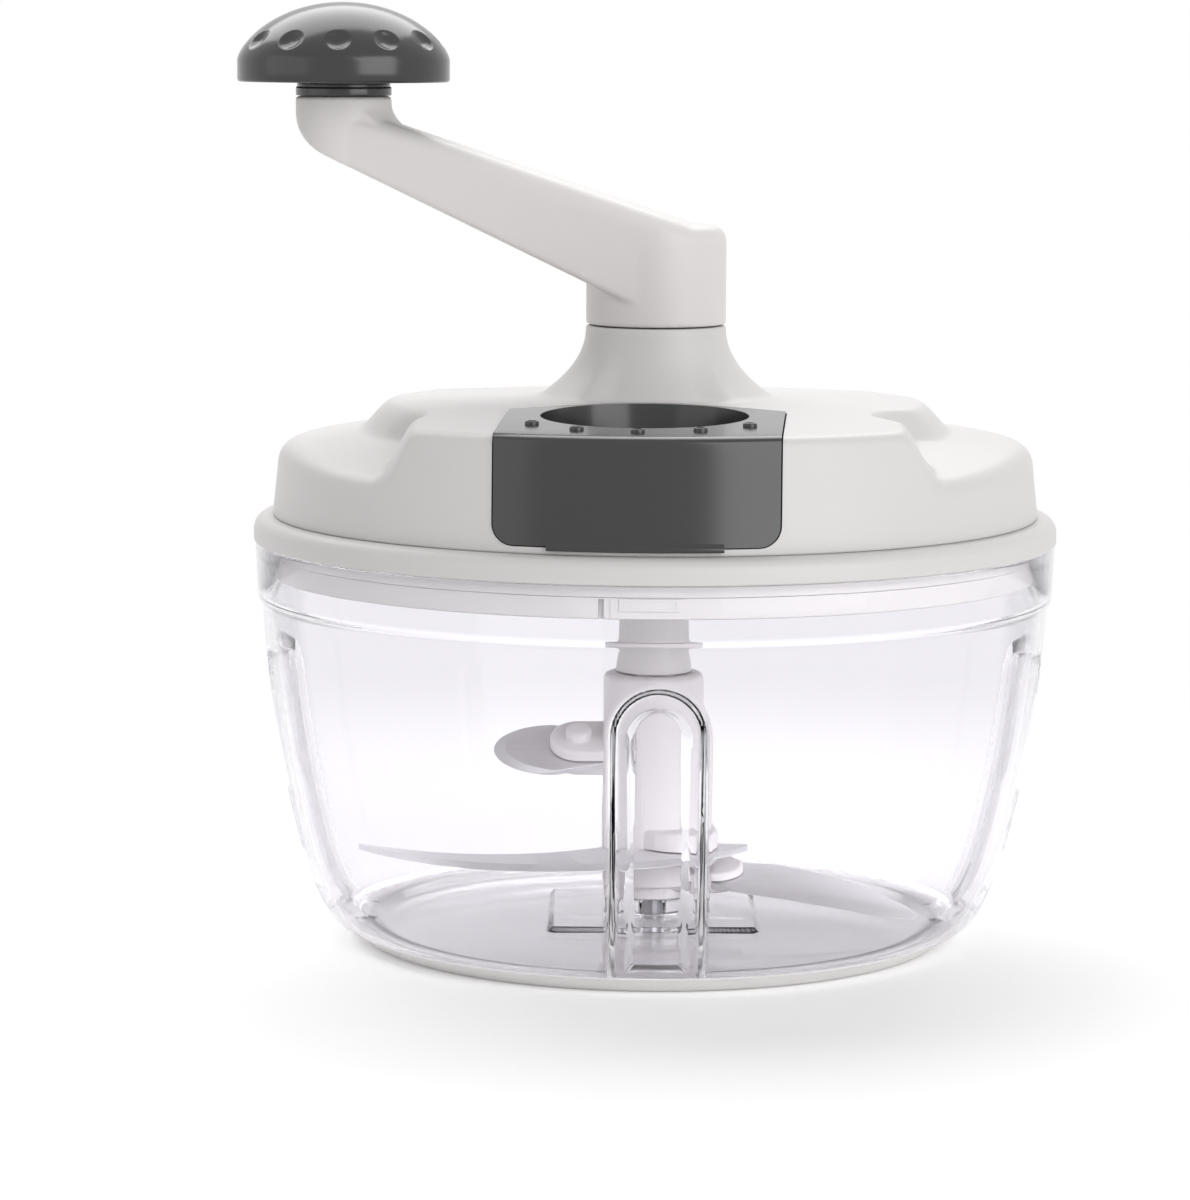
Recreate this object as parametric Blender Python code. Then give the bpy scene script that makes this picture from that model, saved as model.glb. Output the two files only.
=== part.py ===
"""Hand-cranked food chopper: clear bowl, geared lid, turning crank and a three-blade column.

The bowl stands on the table plane with its axis on Z. The crank's arm lies towards -X and
the feed insert faces -Y. All sizes are in metres.
"""
from math import acos, atan2, cos, degrees, hypot, pi, radians, sin, sqrt

import bmesh
import bpy
from mathutils import Matrix, Vector

# Clearances that every mating pair shares
GAP = 0.0003
FIT = 0.0002
OVERRUN = 0.002

# How finely round shapes are divided
BIG_SIDES = 44
MIDDLE_SIDES = 24
SMALL_SIDES = 16
TINY_SIDES = 8
HEX_SIDES = 6
ROUNDING_STEPS = 3
CORNER_STEPS = 4

# Bowl: its rim, flank and floor
RIM_RADIUS = 0.0900
RIM_HEIGHT = 0.0904
RIM_DRAFT = 0.0006
STEP_DROP = 0.0137
STEP_DEPTH = 0.0011
STEP_RISE = 0.0012
BOWL_WALL = 0.0023
FLANK_FOOT_INSET = 0.0194
FLOOR_THICKNESS = 0.0028
FLOOR_INSET = 0.0042
FLANK_STEPS = 5
FLANK_SHARES = (1.39, 0.55)

# Soft non-slip pad that cups the bowl's foot
BASE_INSET = 0.0056
PAD_INSET = 0.0006
PAD_HEIGHT = 0.0038
PAD_FLOOR = 0.0014
PAD_WALL = 0.0013
PAD_CORNER = 0.0012

# Upright arches moulded into the bowl's flank, which stop the food from spinning round
ARCH_COUNT = 4
ARCH_WIDTH = 0.0207
ARCH_WALL = 0.0041
ARCH_DEPTH = 0.0040
ARCH_DROP = 0.0082
ARCH_FOOT_RISE = 0.0020
ARCH_STEPS = 6

# Square plinth, round boss and steel pin in the middle of the bowl's floor
PLINTH_WIDTH = 0.0460
PLINTH_RISE = 0.0010
PIN_BOSS_RADIUS = 0.0075
PIN_BOSS_RISE = 0.0030
PIN_RADIUS = 0.0025
PIN_RISE = 0.0250
PIN_SEAT_FLOOR = 0.0012

# Lid: its turned wall and the raised middle
LID_SEAM_RISE = 0.0059
LID_INSET = 0.0040
SHOULDER_INSET = 0.0015
SHOULDER_RISE = 0.0167
SHOULDER_FILLET = 0.0045
SHOULDER_CROWN = 0.0030
PLATEAU_RISE = 0.0096
PLATEAU_EDGE_INSET = 0.0024
PLATEAU_FILLET = 0.0020
GRIP_INSET = 0.0230
GRIP_SIDE_INSET = 0.0075
GRIP_STEPS = 7
RISER_RUN = 0.0080
RISER_STEPS = 3
RISER_MIDDLE_SHARE = 0.5
SCOOP_DEPTH = 0.0075
SCOOP_HALF_TURN = radians(9.5)
SCOOP_SIDE_TURN = radians(31)
SCOOP_LIP_TURN = radians(1)
SCOOP_STEPS = 8
LID_WALL = 0.0022
CEILING_THICKNESS = 0.0024

# Neck of the lid, flared at its root
NECK_RADIUS = 0.0157
NECK_RISE = 0.0160
FLARE_RADIUS = 0.0265
FLARE_POWER = 2.2
FLARE_STEPS = 6

# Lid base: flange over the bowl's rim, skirt inside it and the floor of the gear room
FLANGE_LEDGE = 0.0008
FLANGE_LIP = 0.0010
SKIRT_DROP = 0.0071
SKIRT_WALL = 0.0024
BASE_FLOOR_RISE = 0.0044
BASE_FLOOR_THICKNESS = 0.0022
SPIGOT_RISE = 0.0022
SPIGOT_WALL = 0.0018
FLANGE_STEPS = 2
SEAL_HEIGHT = 0.0020
SEAL_DEPTH = 0.0014
SEAL_DROP = 0.0006
LATCH_WIDTH = 0.0110
LATCH_HEIGHT = 0.0018
LATCH_RISE = 0.0022
LATCH_PROUD = 0.00025
NOTCH_WIDTH = 0.0012
NOTCH_TURN = radians(-9)
NOTCH_HEIGHT = 0.0042

# Feed insert that drops into the lid's front
INSERT_TURN = radians(-3.5)
INSERT_SIDE_MARGIN = 0.0049
INSERT_BOTTOM_RISE = 0.0018
INSERT_CORNER = 0.0043
INSERT_BACK_RUN = 0.0120
INSERT_SHELL = 0.0020
INSERT_PROUD = 0.0004
CUP_FRONT_MARGIN = 0.0129
CUP_BACK_MARGIN = 0.0018
CUP_MARGIN = 0.0026
CUP_TAPER = 0.0020
CUP_WALL = 0.0016
CUP_DEPTH = 0.0215
DRIP_HOLE_COUNT = 5
DRIP_HOLE_RADIUS = 0.0011
DRIP_MARGIN = 0.0057
DRIP_HOLE_STEP = radians(27.4)
SLOT_COUNT = 6
SLOT_INNER_SHARE = 0.28
SLOT_OUTER_SHARE = 0.79
SLOT_WIDTH = 0.0036
FINGER_LIP_WIDTH = 0.0366
FINGER_LIP_DROP = 0.0009
FINGER_LIP_RISE = 0.0010
FINGER_LIP_PROUD = 0.0008
PLAN_STEPS = 8
POCKET_WALL = 0.0018
PORT_LEDGE = 0.0035

# Planetary gear train in the lid
GEAR_MODULE = 0.00090
SUN_TEETH = 12
PLANET_TEETH = 12
RING_TEETH = 36
PLANET_COUNT = 3
ROOT_WIDTH_SHARE = 0.52
TIP_WIDTH_SHARE = 0.17
ADDENDUM_SHARE = 0.80
DEDENDUM_SHARE = 1.15
RING_WALL = 0.0018
GEAR_FACE = 0.0070
GEAR_ROOM_FLOOR = 0.0050
CARRIER_THICKNESS = 0.0032
CARRIER_CLEARANCE = 0.0024
CARRIER_EDGE = 0.0030
AXLE_RADIUS = 0.0015
GEAR_TOWER_WALL = 0.0018

# Crank shaft and its bush in the neck
SHAFT_RADIUS = 0.0070
BUSH_WALL = 0.0024
BUSH_FLANGE_RADIUS = 0.0128
BUSH_FLANGE = 0.0014
SHAFT_IN_HUB = 0.0150
CRANK_SCREW_RADIUS = 0.0018
CRANK_SCREW_HEAD_RADIUS = 0.0034
CRANK_SCREW_HEAD = 0.0018

# Drive hub, which carries the sun gear and turns the blades
DRIVE_TUBE_RADIUS = 0.0086
DRIVE_JOURNAL_RADIUS = 0.0065
DRIVE_BUSH_WALL = 0.0018
DRIVE_BOSS_WALL = 0.0020
DRIVE_BOSS_DROP = 0.0080
DRIVE_WAIST_RADIUS = 0.0078
WAIST_STEPS = 5
PLUG_RADIUS = 0.0080
PLUG_LENGTH = 0.0120
SPIGOT_RADIUS = 0.0034
SUN_SCREW_RADIUS = 0.0012
SUN_SCREW_HEAD_RADIUS = 0.0030
SUN_SCREW_HEAD = 0.0012
SUN_SCREW_LENGTH = 0.0090

# Lid screws, driven up through the base into posts of the cover
LID_SCREW_COUNT = 4
LID_SCREW_INSET = 0.0120
LID_SCREW_TURN = radians(45)
LID_SCREW_RADIUS = 0.0014
LID_SCREW_HEAD_RADIUS = 0.0028
LID_SCREW_HEAD = 0.0016
LID_SCREW_LENGTH = 0.0100
POST_RADIUS = 0.0040

# Crank arm, with its hub over the neck and a boss for the knob
CRANK_REACH = 0.0700
HUB_RISE = 0.0223
HUB_FILLET = 0.0026
BOSS_RADIUS = 0.0107
BOSS_RISE = 0.0280
BOSS_HEIGHT = 0.0147
BOSS_FILLET = 0.0022
ARM_RISE_AT_HUB = 0.0027
ARM_DROP_AT_BOSS = 0.0019
ARM_UNDER_RISE = 0.0023
ARM_ROUNDING = 0.0042
ARM_UNDER_ROUNDING = 0.0010
ARM_SIDE_INSET = 0.0002
ARM_FILLET = 0.0052
ARM_FILLET_STEPS = 3

# Knob that turns on a steel stud
KNOB_RADIUS = 0.0237
KNOB_HEIGHT = 0.0177
KNOB_SKIRT = 0.0048
KNOB_SHELL = 0.0026
KNOB_STEM_RADIUS = 0.0078
KNOB_STEPS = 7
DIMPLE_COUNT = 12
DIMPLE_RADIUS = 0.0052
DIMPLE_DEPTH = 0.0011
DIMPLE_HEIGHT_SHARE = 0.36
DIMPLE_PROBE_SHARE = 0.02
DIMPLE_FACES = (8, 6)
DOME_SHARES = (1.5, 0.49)
COLLAR_HEIGHT = 0.0030
COLLAR_RADIUS = 0.0106
STUD_RADIUS = 0.0030
STUD_FOOT_RADIUS = 0.0040
STUD_FOOT = 0.0090
STUD_BEAD = 0.0006
STUD_RISE = 0.0120

# Blade column
COLUMN_RADIUS = 0.01135
COLUMN_HEIGHT = 0.0509
COLUMN_LIFT = 0.0006
COLUMN_ROUNDING = 0.0016
COLUMN_FOOT_RADIUS = 0.0092
COLUMN_FOOT = 0.0030
COLUMN_BUSH_WALL = 0.0020
COLUMN_BUSH_LENGTH = 0.0110

# Blades and the lobes of the column that clamp them
BLADE_THICKNESS = 0.0012
LEAF_ROOT_SHARE = 0.7
LEAF_STEPS = 8
LOBE_STEPS = 6
UPPER_BLADE_HEIGHT = 0.0425
UPPER_BLADE_PITCH = radians(26)
UPPER_BLADE_TURN = radians(182)
UPPER_BLADE_REACH = 0.0362
UPPER_BLADE_WIDTH = 0.0195
UPPER_BELLY_SHARE = 0.45
UPPER_LOBE_REACH = 0.0235
UPPER_LOBE_WIDTH = 0.0130
UPPER_LOBE_HEIGHT = 0.0066
UPPER_RIVET_RADIUS = 0.0030
UPPER_RIVET_RISE = 0.0022
MIDDLE_BLADE_HEIGHT = 0.0205
MIDDLE_TIP_RUN = 0.0004
MIDDLE_BLADE_TAIL = 0.0220
MIDDLE_BLADE_FRONT = 0.0250
MIDDLE_BLADE_BACK = 0.0020
MIDDLE_BLADE_STEPS = 12
MIDDLE_BLADE_POWER = 0.9
MIDDLE_HEEL_SHARE = 0.6
MIDDLE_BITE_MARGIN = 12
MIDDLE_BITE_STEPS = 8
MIDDLE_LOBE_REACH = 0.0185
MIDDLE_LOBE_WIDTH = 0.0170
MIDDLE_LOBE_HEIGHT = 0.0076
MIDDLE_LOBE_TURN = radians(-52)
LOWER_BLADE_HEIGHT = 0.0138
LOWER_BLADE_PITCH = radians(16)
LOWER_BLADE_TURN = radians(-20)
LOWER_TIP_INSET = 0.0039
LOWER_BLADE_WIDTH = 0.0190
LOWER_BELLY_SHARE = 0.3
LOWER_LOBE_REACH = 0.0215
LOWER_LOBE_WIDTH = 0.0135
LOWER_LOBE_HEIGHT = 0.0048

# Bowl and pad: heights and radii that follow from the sizes above
step_height = RIM_HEIGHT - STEP_DROP
bowl_bottom = PAD_FLOOR + GAP
floor_height = bowl_bottom + FLOOR_THICKNESS
arch_top = step_height - ARCH_DROP
band_inner_radius = RIM_RADIUS - BOWL_WALL
flank_top_radius = RIM_RADIUS - RIM_DRAFT - STEP_DEPTH
flank_foot = PAD_HEIGHT + GAP
flank_foot_radius = RIM_RADIUS - FLANK_FOOT_INSET
floor_radius = flank_foot_radius - FLOOR_INSET
base_radius = flank_foot_radius - BASE_INSET
pad_radius = flank_foot_radius - PAD_INSET
plinth_top = floor_height + PLINTH_RISE
pin_boss_top = plinth_top + PIN_BOSS_RISE

# Lid: heights and radii that follow
lid_seam_height = RIM_HEIGHT + LID_SEAM_RISE
shoulder_height = lid_seam_height + SHOULDER_RISE
plateau_height = shoulder_height + PLATEAU_RISE
neck_top = plateau_height + NECK_RISE
lid_radius = RIM_RADIUS - LID_INSET
shoulder_radius = lid_radius - SHOULDER_INSET
plateau_edge_radius = lid_radius - PLATEAU_EDGE_INSET
grip_radius = lid_radius - GRIP_INSET
grip_half_width = grip_radius - GRIP_SIDE_INSET
flange_bottom = RIM_HEIGHT + GAP
flange_top_radius = lid_radius + FLANGE_LEDGE
skirt_radius = band_inner_radius - 2 * GAP
skirt_bottom = RIM_HEIGHT - SKIRT_DROP
base_floor_top = RIM_HEIGHT + BASE_FLOOR_RISE
base_floor_bottom = base_floor_top - BASE_FLOOR_THICKNESS
lid_screw_circle = lid_radius - LID_SCREW_INSET

# Gear train, shaft and drive: heights and radii that follow
gear_seat_top = base_floor_top + GEAR_ROOM_FLOOR
gear_bottom = gear_seat_top + 2 * GAP
ring_pitch_radius = GEAR_MODULE * RING_TEETH / 2
sun_pitch_radius = GEAR_MODULE * SUN_TEETH / 2
planet_pitch_radius = GEAR_MODULE * PLANET_TEETH / 2
planet_circle = sun_pitch_radius + planet_pitch_radius
ring_root_radius = ring_pitch_radius + GEAR_MODULE * DEDENDUM_SHARE
ring_outer_radius = ring_root_radius + RING_WALL
tower_radius = ring_outer_radius + GAP
gear_top = gear_bottom + GEAR_FACE
carrier_bottom = gear_top + CARRIER_CLEARANCE
carrier_top = carrier_bottom + CARRIER_THICKNESS
tower_top = carrier_top + 2 * GAP
bush_outer_radius = SHAFT_RADIUS + FIT + BUSH_WALL
drive_bush_radius = DRIVE_JOURNAL_RADIUS + FIT + DRIVE_BUSH_WALL
drive_boss_radius = drive_bush_radius + GAP + DRIVE_BOSS_WALL
drive_boss_bottom = base_floor_bottom - DRIVE_BOSS_DROP

# Feed insert: its cup fills the room between the gear tower and the lid's front
insert_bottom = lid_seam_height + INSERT_BOTTOM_RISE
cup_room = lid_radius - CUP_FRONT_MARGIN - tower_radius - GEAR_TOWER_WALL - CUP_BACK_MARGIN
cup_radius = cup_room / 2 - CUP_MARGIN
cup_centre = lid_radius - CUP_FRONT_MARGIN - cup_room / 2
cup_floor_radius = cup_radius - CUP_TAPER
insert_half_width = cup_room / 2 + INSERT_SIDE_MARGIN
insert_back = cup_centre - INSERT_BACK_RUN
drip_circle_radius = cup_radius + DRIP_MARGIN
port_radius = cup_radius - PORT_LEDGE

# Crank and knob: heights that follow
hub_bottom = neck_top + GAP
hub_top = hub_bottom + HUB_RISE
shaft_top = hub_bottom + SHAFT_IN_HUB
boss_top = hub_top + BOSS_RISE
boss_bottom = boss_top - BOSS_HEIGHT
arm_top_at_hub = hub_top + ARM_RISE_AT_HUB
arm_top_at_boss = boss_top - ARM_DROP_AT_BOSS
arm_under_at_hub = hub_bottom + ARM_UNDER_RISE
arm_under_at_boss = boss_bottom + GAP / 2
collar_bottom = boss_top + GAP
knob_bottom = collar_bottom + COLLAR_HEIGHT

# Blade column and blades: heights and reaches that follow
column_bottom = pin_boss_top + COLUMN_LIFT
column_top = column_bottom + COLUMN_HEIGHT
plug_bottom = column_top - PLUG_LENGTH
middle_blade_tip = floor_radius + MIDDLE_TIP_RUN
lower_blade_reach = floor_radius - LOWER_TIP_INSET


def arc(centre, radius, start, end, steps):
    """Points of an arc in a plane, from one angle to another in degrees."""
    points = []
    for step in range(steps + 1):
        angle = radians(start + (end - start) * step / steps)
        points.append((centre[0] + radius * cos(angle), centre[1] + radius * sin(angle)))
    return points


def smooth_step(share):
    """An S curve from 0 to 1 with level ends."""
    return share * share * (3 - 2 * share)


def new_piece(name, mesh_data):
    """Link a bmesh as an object at the origin, with its faces turned outward."""
    bmesh.ops.recalc_face_normals(mesh_data, faces=mesh_data.faces)
    mesh = bpy.data.meshes.new(name)
    mesh_data.to_mesh(mesh)
    mesh_data.free()
    piece = bpy.data.objects.new(name, mesh)
    bpy.context.scene.collection.objects.link(piece)
    return piece


def turned(name, outline, sides):
    """A solid turned about Z from a closed outline of (radius, height) points."""
    mesh_data = bmesh.new()
    rings = []
    for radius, height in outline:
        if radius == 0:
            rings.append([mesh_data.verts.new((0, 0, height))])
            continue
        ring = []
        for side in range(sides):
            angle = 2 * pi * side / sides
            ring.append(mesh_data.verts.new((radius * cos(angle), radius * sin(angle), height)))
        rings.append(ring)
    for index, ring in enumerate(rings):
        following = rings[(index + 1) % len(rings)]
        if len(ring) == 1 and len(following) == 1:
            continue
        level = outline[index][1] == outline[(index + 1) % len(rings)][1]
        if level and 1 in (len(ring), len(following)):
            mesh_data.faces.new(max(ring, following, key=len))
            continue
        for side in range(sides):
            beside = (side + 1) % sides
            corners = [ring[side % len(ring)], ring[beside % len(ring)],
                       following[beside % len(following)], following[side % len(following)]]
            mesh_data.faces.new(list(dict.fromkeys(corners)))
    loose = [vert for vert in mesh_data.verts if not vert.link_faces]
    bmesh.ops.delete(mesh_data, geom=loose, context='VERTS')
    return new_piece(name, mesh_data)


def prism(name, outline, bottom, top):
    """An outline of (x, y) points raised into an upright solid."""
    mesh_data = bmesh.new()
    lower = [mesh_data.verts.new((x, y, bottom)) for x, y in outline]
    upper = [mesh_data.verts.new((x, y, top)) for x, y in outline]
    mesh_data.faces.new(lower)
    mesh_data.faces.new(upper)
    for index in range(len(outline)):
        following = (index + 1) % len(outline)
        mesh_data.faces.new((lower[index], lower[following], upper[following], upper[index]))
    return new_piece(name, mesh_data)


def placed(piece, matrix):
    """Move a piece's mesh by a matrix and leave its origin where it is."""
    piece.data.transform(matrix)
    return piece


def box(name, low, high):
    """A block between two opposite corners."""
    outline = ((low[0], low[1]), (high[0], low[1]), (high[0], high[1]), (low[0], high[1]))
    return prism(name, outline, low[2], high[2])


def disc(name, radius, bottom, top, sides=SMALL_SIDES):
    """A plain round solid on the Z axis."""
    return turned(name, ((0, bottom), (radius, bottom), (radius, top), (0, top)), sides)


def tube(name, inner, outer, bottom, top, sides=SMALL_SIDES):
    """A plain ring or sleeve on the Z axis."""
    outline = ((inner, bottom), (outer, bottom), (outer, top), (inner, top))
    return turned(name, outline, sides)


def combine(piece, tool, operation):
    """Run one Boolean on a piece, keep its result as the piece's mesh and drop the tool."""
    modifier = piece.modifiers.new(operation, 'BOOLEAN')
    modifier.operation = operation
    modifier.solver = 'EXACT'
    modifier.object = tool
    bpy.context.view_layer.update()
    depsgraph = bpy.context.evaluated_depsgraph_get()
    result = bpy.data.meshes.new_from_object(piece.evaluated_get(depsgraph))
    plain = piece.data
    piece.modifiers.clear()
    piece.data = result
    bpy.data.meshes.remove(plain)
    bpy.data.objects.remove(tool)
    return piece


def cut(piece, *tools):
    """Take the tools away from a piece."""
    for tool in tools:
        combine(piece, tool, 'DIFFERENCE')
    return piece


def join(piece, *tools):
    """Fuse the tools with a piece into one body."""
    for tool in tools:
        combine(piece, tool, 'UNION')
    return piece


def common(piece, *tools):
    """Keep what a piece shares with the tools."""
    for tool in tools:
        combine(piece, tool, 'INTERSECT')
    return piece


def rounded_rectangle(half_width, bottom, top, radius):
    """An upright rectangle with its two lower corners rounded."""
    points = [(half_width, top), (-half_width, top)]
    points += arc((-half_width + radius, bottom + radius), radius, 180, 270,
                  CORNER_STEPS)
    points += arc((half_width - radius, bottom + radius), radius, 270, 360,
                  CORNER_STEPS)
    return points


def finish(piece, colour, roughness, metallic=0.0, alpha=1.0):
    """Give a piece its smooth shading and its own material."""
    piece.data.shade_smooth()
    piece.data.set_sharp_from_angle(angle=SHARP_ANGLE)
    material = bpy.data.materials.new(piece.name)
    material.use_nodes = True
    shader = material.node_tree.nodes['Principled BSDF']
    shader.inputs['Base Color'].default_value = (*colour, 1)
    shader.inputs['Roughness'].default_value = roughness
    shader.inputs['Metallic'].default_value = metallic
    shader.inputs['Alpha'].default_value = alpha
    piece.data.materials.clear()
    piece.data.materials.append(material)
    return piece


SHARP_ANGLE = radians(35)
SHELL_COLOUR = (0.62, 0.60, 0.59)
DARK_COLOUR = (0.055, 0.055, 0.060)
CLEAR_COLOUR = (0.92, 0.92, 0.94)
STEEL_COLOUR = (0.60, 0.60, 0.62)
GEAR_COLOUR = (0.80, 0.79, 0.76)
SEAL_COLOUR = (0.78, 0.76, 0.75)


def shell_plastic(piece):
    return finish(piece, SHELL_COLOUR, roughness=0.35)


def dark_plastic(piece):
    return finish(piece, DARK_COLOUR, roughness=0.25)


def clear_plastic(piece):
    return finish(piece, CLEAR_COLOUR, roughness=0.05, alpha=0.35)


def steel(piece):
    return finish(piece, STEEL_COLOUR, roughness=0.25, metallic=1.0)


def gear_plastic(piece):
    return finish(piece, GEAR_COLOUR, roughness=0.45)


def soft_rubber(piece):
    return finish(piece, SEAL_COLOUR, roughness=0.6)


def flank_radius(height, foot_height, foot_radius, top_radius):
    """The bowl's flank at a height: round at the foot and nearly upright at the top."""
    share = (height - foot_height) / (step_height - foot_height)
    share = min(max(share, 0), 1)
    swell = (1 - (1 - share) ** FLANK_SHARES[0]) ** FLANK_SHARES[1]
    return foot_radius + (top_radius - foot_radius) * swell


def outer_flank(height):
    return flank_radius(height, flank_foot, flank_foot_radius, flank_top_radius)


def inner_flank(height):
    return flank_radius(height, floor_height, floor_radius, flank_top_radius - BOWL_WALL)


def flank_heights(foot_height, steps=FLANK_STEPS):
    """Heights up the flank, closer together near the foot where it turns."""
    rise = step_height - foot_height
    return [foot_height + rise * (step / steps) ** 2 for step in range(steps + 1)]


def flank_ring(name, radius_at, inward, outward, bottom, top):
    """A turned ring that follows the flank between two offsets from it."""
    steps = FLANK_STEPS
    heights = [bottom + (top - bottom) * (step / steps) ** 2 for step in range(steps + 1)]
    outline = [(radius_at(height) + outward, height) for height in heights]
    outline += [(radius_at(height) - inward, height) for height in reversed(heights)]
    return placed(turned(name, outline, BIG_SIDES), Matrix.Rotation(pi / BIG_SIDES, 4, 'Z'))


def arch_block(half_width, bottom, top, turn):
    """An upright arch-shaped block that reaches from the axis out through the flank."""
    centre = (0, top - half_width)
    outline = [(-half_width, bottom), (half_width, bottom)]
    outline += arc(centre, half_width, 0, 180, ARCH_STEPS)
    block = prism('arch', outline, floor_radius / 2, RIM_RADIUS + 2 * OVERRUN)
    upright = Matrix.Rotation(radians(90), 4, 'X')
    return placed(block, Matrix.Rotation(turn, 4, 'Z') @ upright)


def make_bowl():
    """Clear bowl: thin band at the rim, swelling flank, flat floor, arches and pin boss."""
    outline = [(0, bowl_bottom), (base_radius - PAD_WALL, bowl_bottom)]
    outline += [(pad_radius - PAD_WALL - 2 * GAP, PAD_HEIGHT + GAP)]
    outline += [(outer_flank(height), height) for height in flank_heights(flank_foot)]
    outline += [(flank_top_radius + STEP_DEPTH, step_height + STEP_RISE), (RIM_RADIUS, RIM_HEIGHT)]
    outline += [(band_inner_radius, RIM_HEIGHT)]
    outline += [(band_inner_radius, step_height + 2 * STEP_RISE)]
    outline += [(inner_flank(height), height) for height in reversed(flank_heights(floor_height))]
    outline += [(0, floor_height)]
    bowl = turned('bowl', outline, BIG_SIDES)
    for index in range(ARCH_COUNT):
        turn = 2 * pi * index / ARCH_COUNT
        bump = flank_ring('bump', inner_flank, ARCH_DEPTH, BOWL_WALL / 4,
                          floor_height - FLOOR_THICKNESS / 4, step_height)
        common(bump, arch_block(ARCH_WIDTH / 2, 0, arch_top, turn))
        join(bowl, bump)
    pocket_foot = floor_height + ARCH_FOOT_RISE
    for index in range(ARCH_COUNT):
        turn = 2 * pi * index / ARCH_COUNT
        pocket = flank_ring('pocket', outer_flank, ARCH_DEPTH, OVERRUN, pocket_foot, step_height)
        half_width = ARCH_WIDTH / 2 - ARCH_WALL
        common(pocket, arch_block(half_width, 0, arch_top - ARCH_WALL, turn))
        cut(bowl, pocket)
    half_plinth = PLINTH_WIDTH / 2
    buried = floor_height - FLOOR_THICKNESS / 2
    join(bowl, box('plinth', (-half_plinth, -half_plinth, buried),
                   (half_plinth, half_plinth, plinth_top)))
    join(bowl, disc('boss', PIN_BOSS_RADIUS, buried, pin_boss_top))
    cut(bowl, disc('pin_seat', PIN_RADIUS + FIT, bowl_bottom + PIN_SEAT_FLOOR,
                   pin_boss_top + OVERRUN))
    return clear_plastic(bowl)


def make_pivot_pin():
    """Steel pin set in the bowl's boss, on which the blade column spins."""
    bottom = bowl_bottom + PIN_SEAT_FLOOR + GAP
    top = pin_boss_top + PIN_RISE
    outline = [(0, bottom), (PIN_RADIUS, bottom)]
    outline += arc((0, top - PIN_RADIUS), PIN_RADIUS, 0, 90, 4)[:-1] + [(0, top)]
    return steel(turned('pivot_pin', outline, SMALL_SIDES))


def make_base_pad():
    """Soft pad cupped round the bowl's foot, with a flat underside."""
    outline = [(0, 0)]
    outline += arc((base_radius - PAD_CORNER, PAD_CORNER), PAD_CORNER, 270, 330, 2)
    outline += [(pad_radius, PAD_HEIGHT), (pad_radius - PAD_WALL, PAD_HEIGHT)]
    outline += [(base_radius - PAD_WALL + 2 * GAP, PAD_FLOOR), (0, PAD_FLOOR)]
    return soft_rubber(turned('non_slip_pad', outline, BIG_SIDES))


def neck_outline():
    """The neck's flared outside, from its root up to the crank's hub."""
    points = []
    for step in range(FLARE_STEPS + 1):
        share = step / FLARE_STEPS
        radius = NECK_RADIUS + (FLARE_RADIUS - NECK_RADIUS) * (1 - share) ** FLARE_POWER
        points.append((radius, plateau_height + NECK_RISE * share))
    return points


def plateau_body(name, proud=0.0, bottom=lid_seam_height):
    """The lid's wall and flat top as a full round, before the sides are lowered."""
    top = plateau_height + proud
    outline = [(0, bottom), (lid_radius + proud, bottom)]
    centre = (plateau_edge_radius + proud - PLATEAU_FILLET, top - PLATEAU_FILLET)
    outline += arc(centre, PLATEAU_FILLET, 10, 90, 3)
    outline += [(0, top)]
    return turned(name, outline, BIG_SIDES)


def shoulder_body():
    """The lowered round that shows at both sides of the grip."""
    crown = shoulder_height + SHOULDER_CROWN
    outline = [(0, lid_seam_height), (lid_radius, lid_seam_height)]
    centre = (shoulder_radius - SHOULDER_FILLET, shoulder_height - SHOULDER_FILLET)
    outline += arc(centre, SHOULDER_FILLET, 8, 82, 4)
    outline += [(grip_radius, crown), (0, crown)]
    return turned('shoulder', outline, BIG_SIDES)


def grip_plan():
    """Plan of the grip: a round with a run-out front and back, and a scoop at each side."""
    run_corner = acos(grip_half_width / grip_radius)
    run_end = acos(grip_half_width / (lid_radius + OVERRUN))
    start = SCOOP_SIDE_TURN + SCOOP_HALF_TURN
    angles = []
    for step in range(SCOOP_STEPS + 1):
        angles.append(-SCOOP_SIDE_TURN + SCOOP_HALF_TURN * cos(pi * step / SCOOP_STEPS))
    angles += [-max(run_corner, start + SCOOP_LIP_TURN), -run_end]
    behind = [run_end, run_corner]
    sweep = run_corner + SCOOP_SIDE_TURN - SCOOP_HALF_TURN
    behind += [run_corner - sweep * step / GRIP_STEPS for step in range(1, GRIP_STEPS)]
    right_side = behind + angles
    plan = []
    for angle in right_side:
        offset = abs(angle + SCOOP_SIDE_TURN) / SCOOP_HALF_TURN
        reach = max(grip_radius, grip_half_width / cos(angle))
        if offset < 1:
            reach -= SCOOP_DEPTH * sqrt(1 - offset ** 2)
        plan.append((reach, angle))
    return plan + [(reach, pi - angle) for reach, angle in reversed(plan)]


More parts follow.
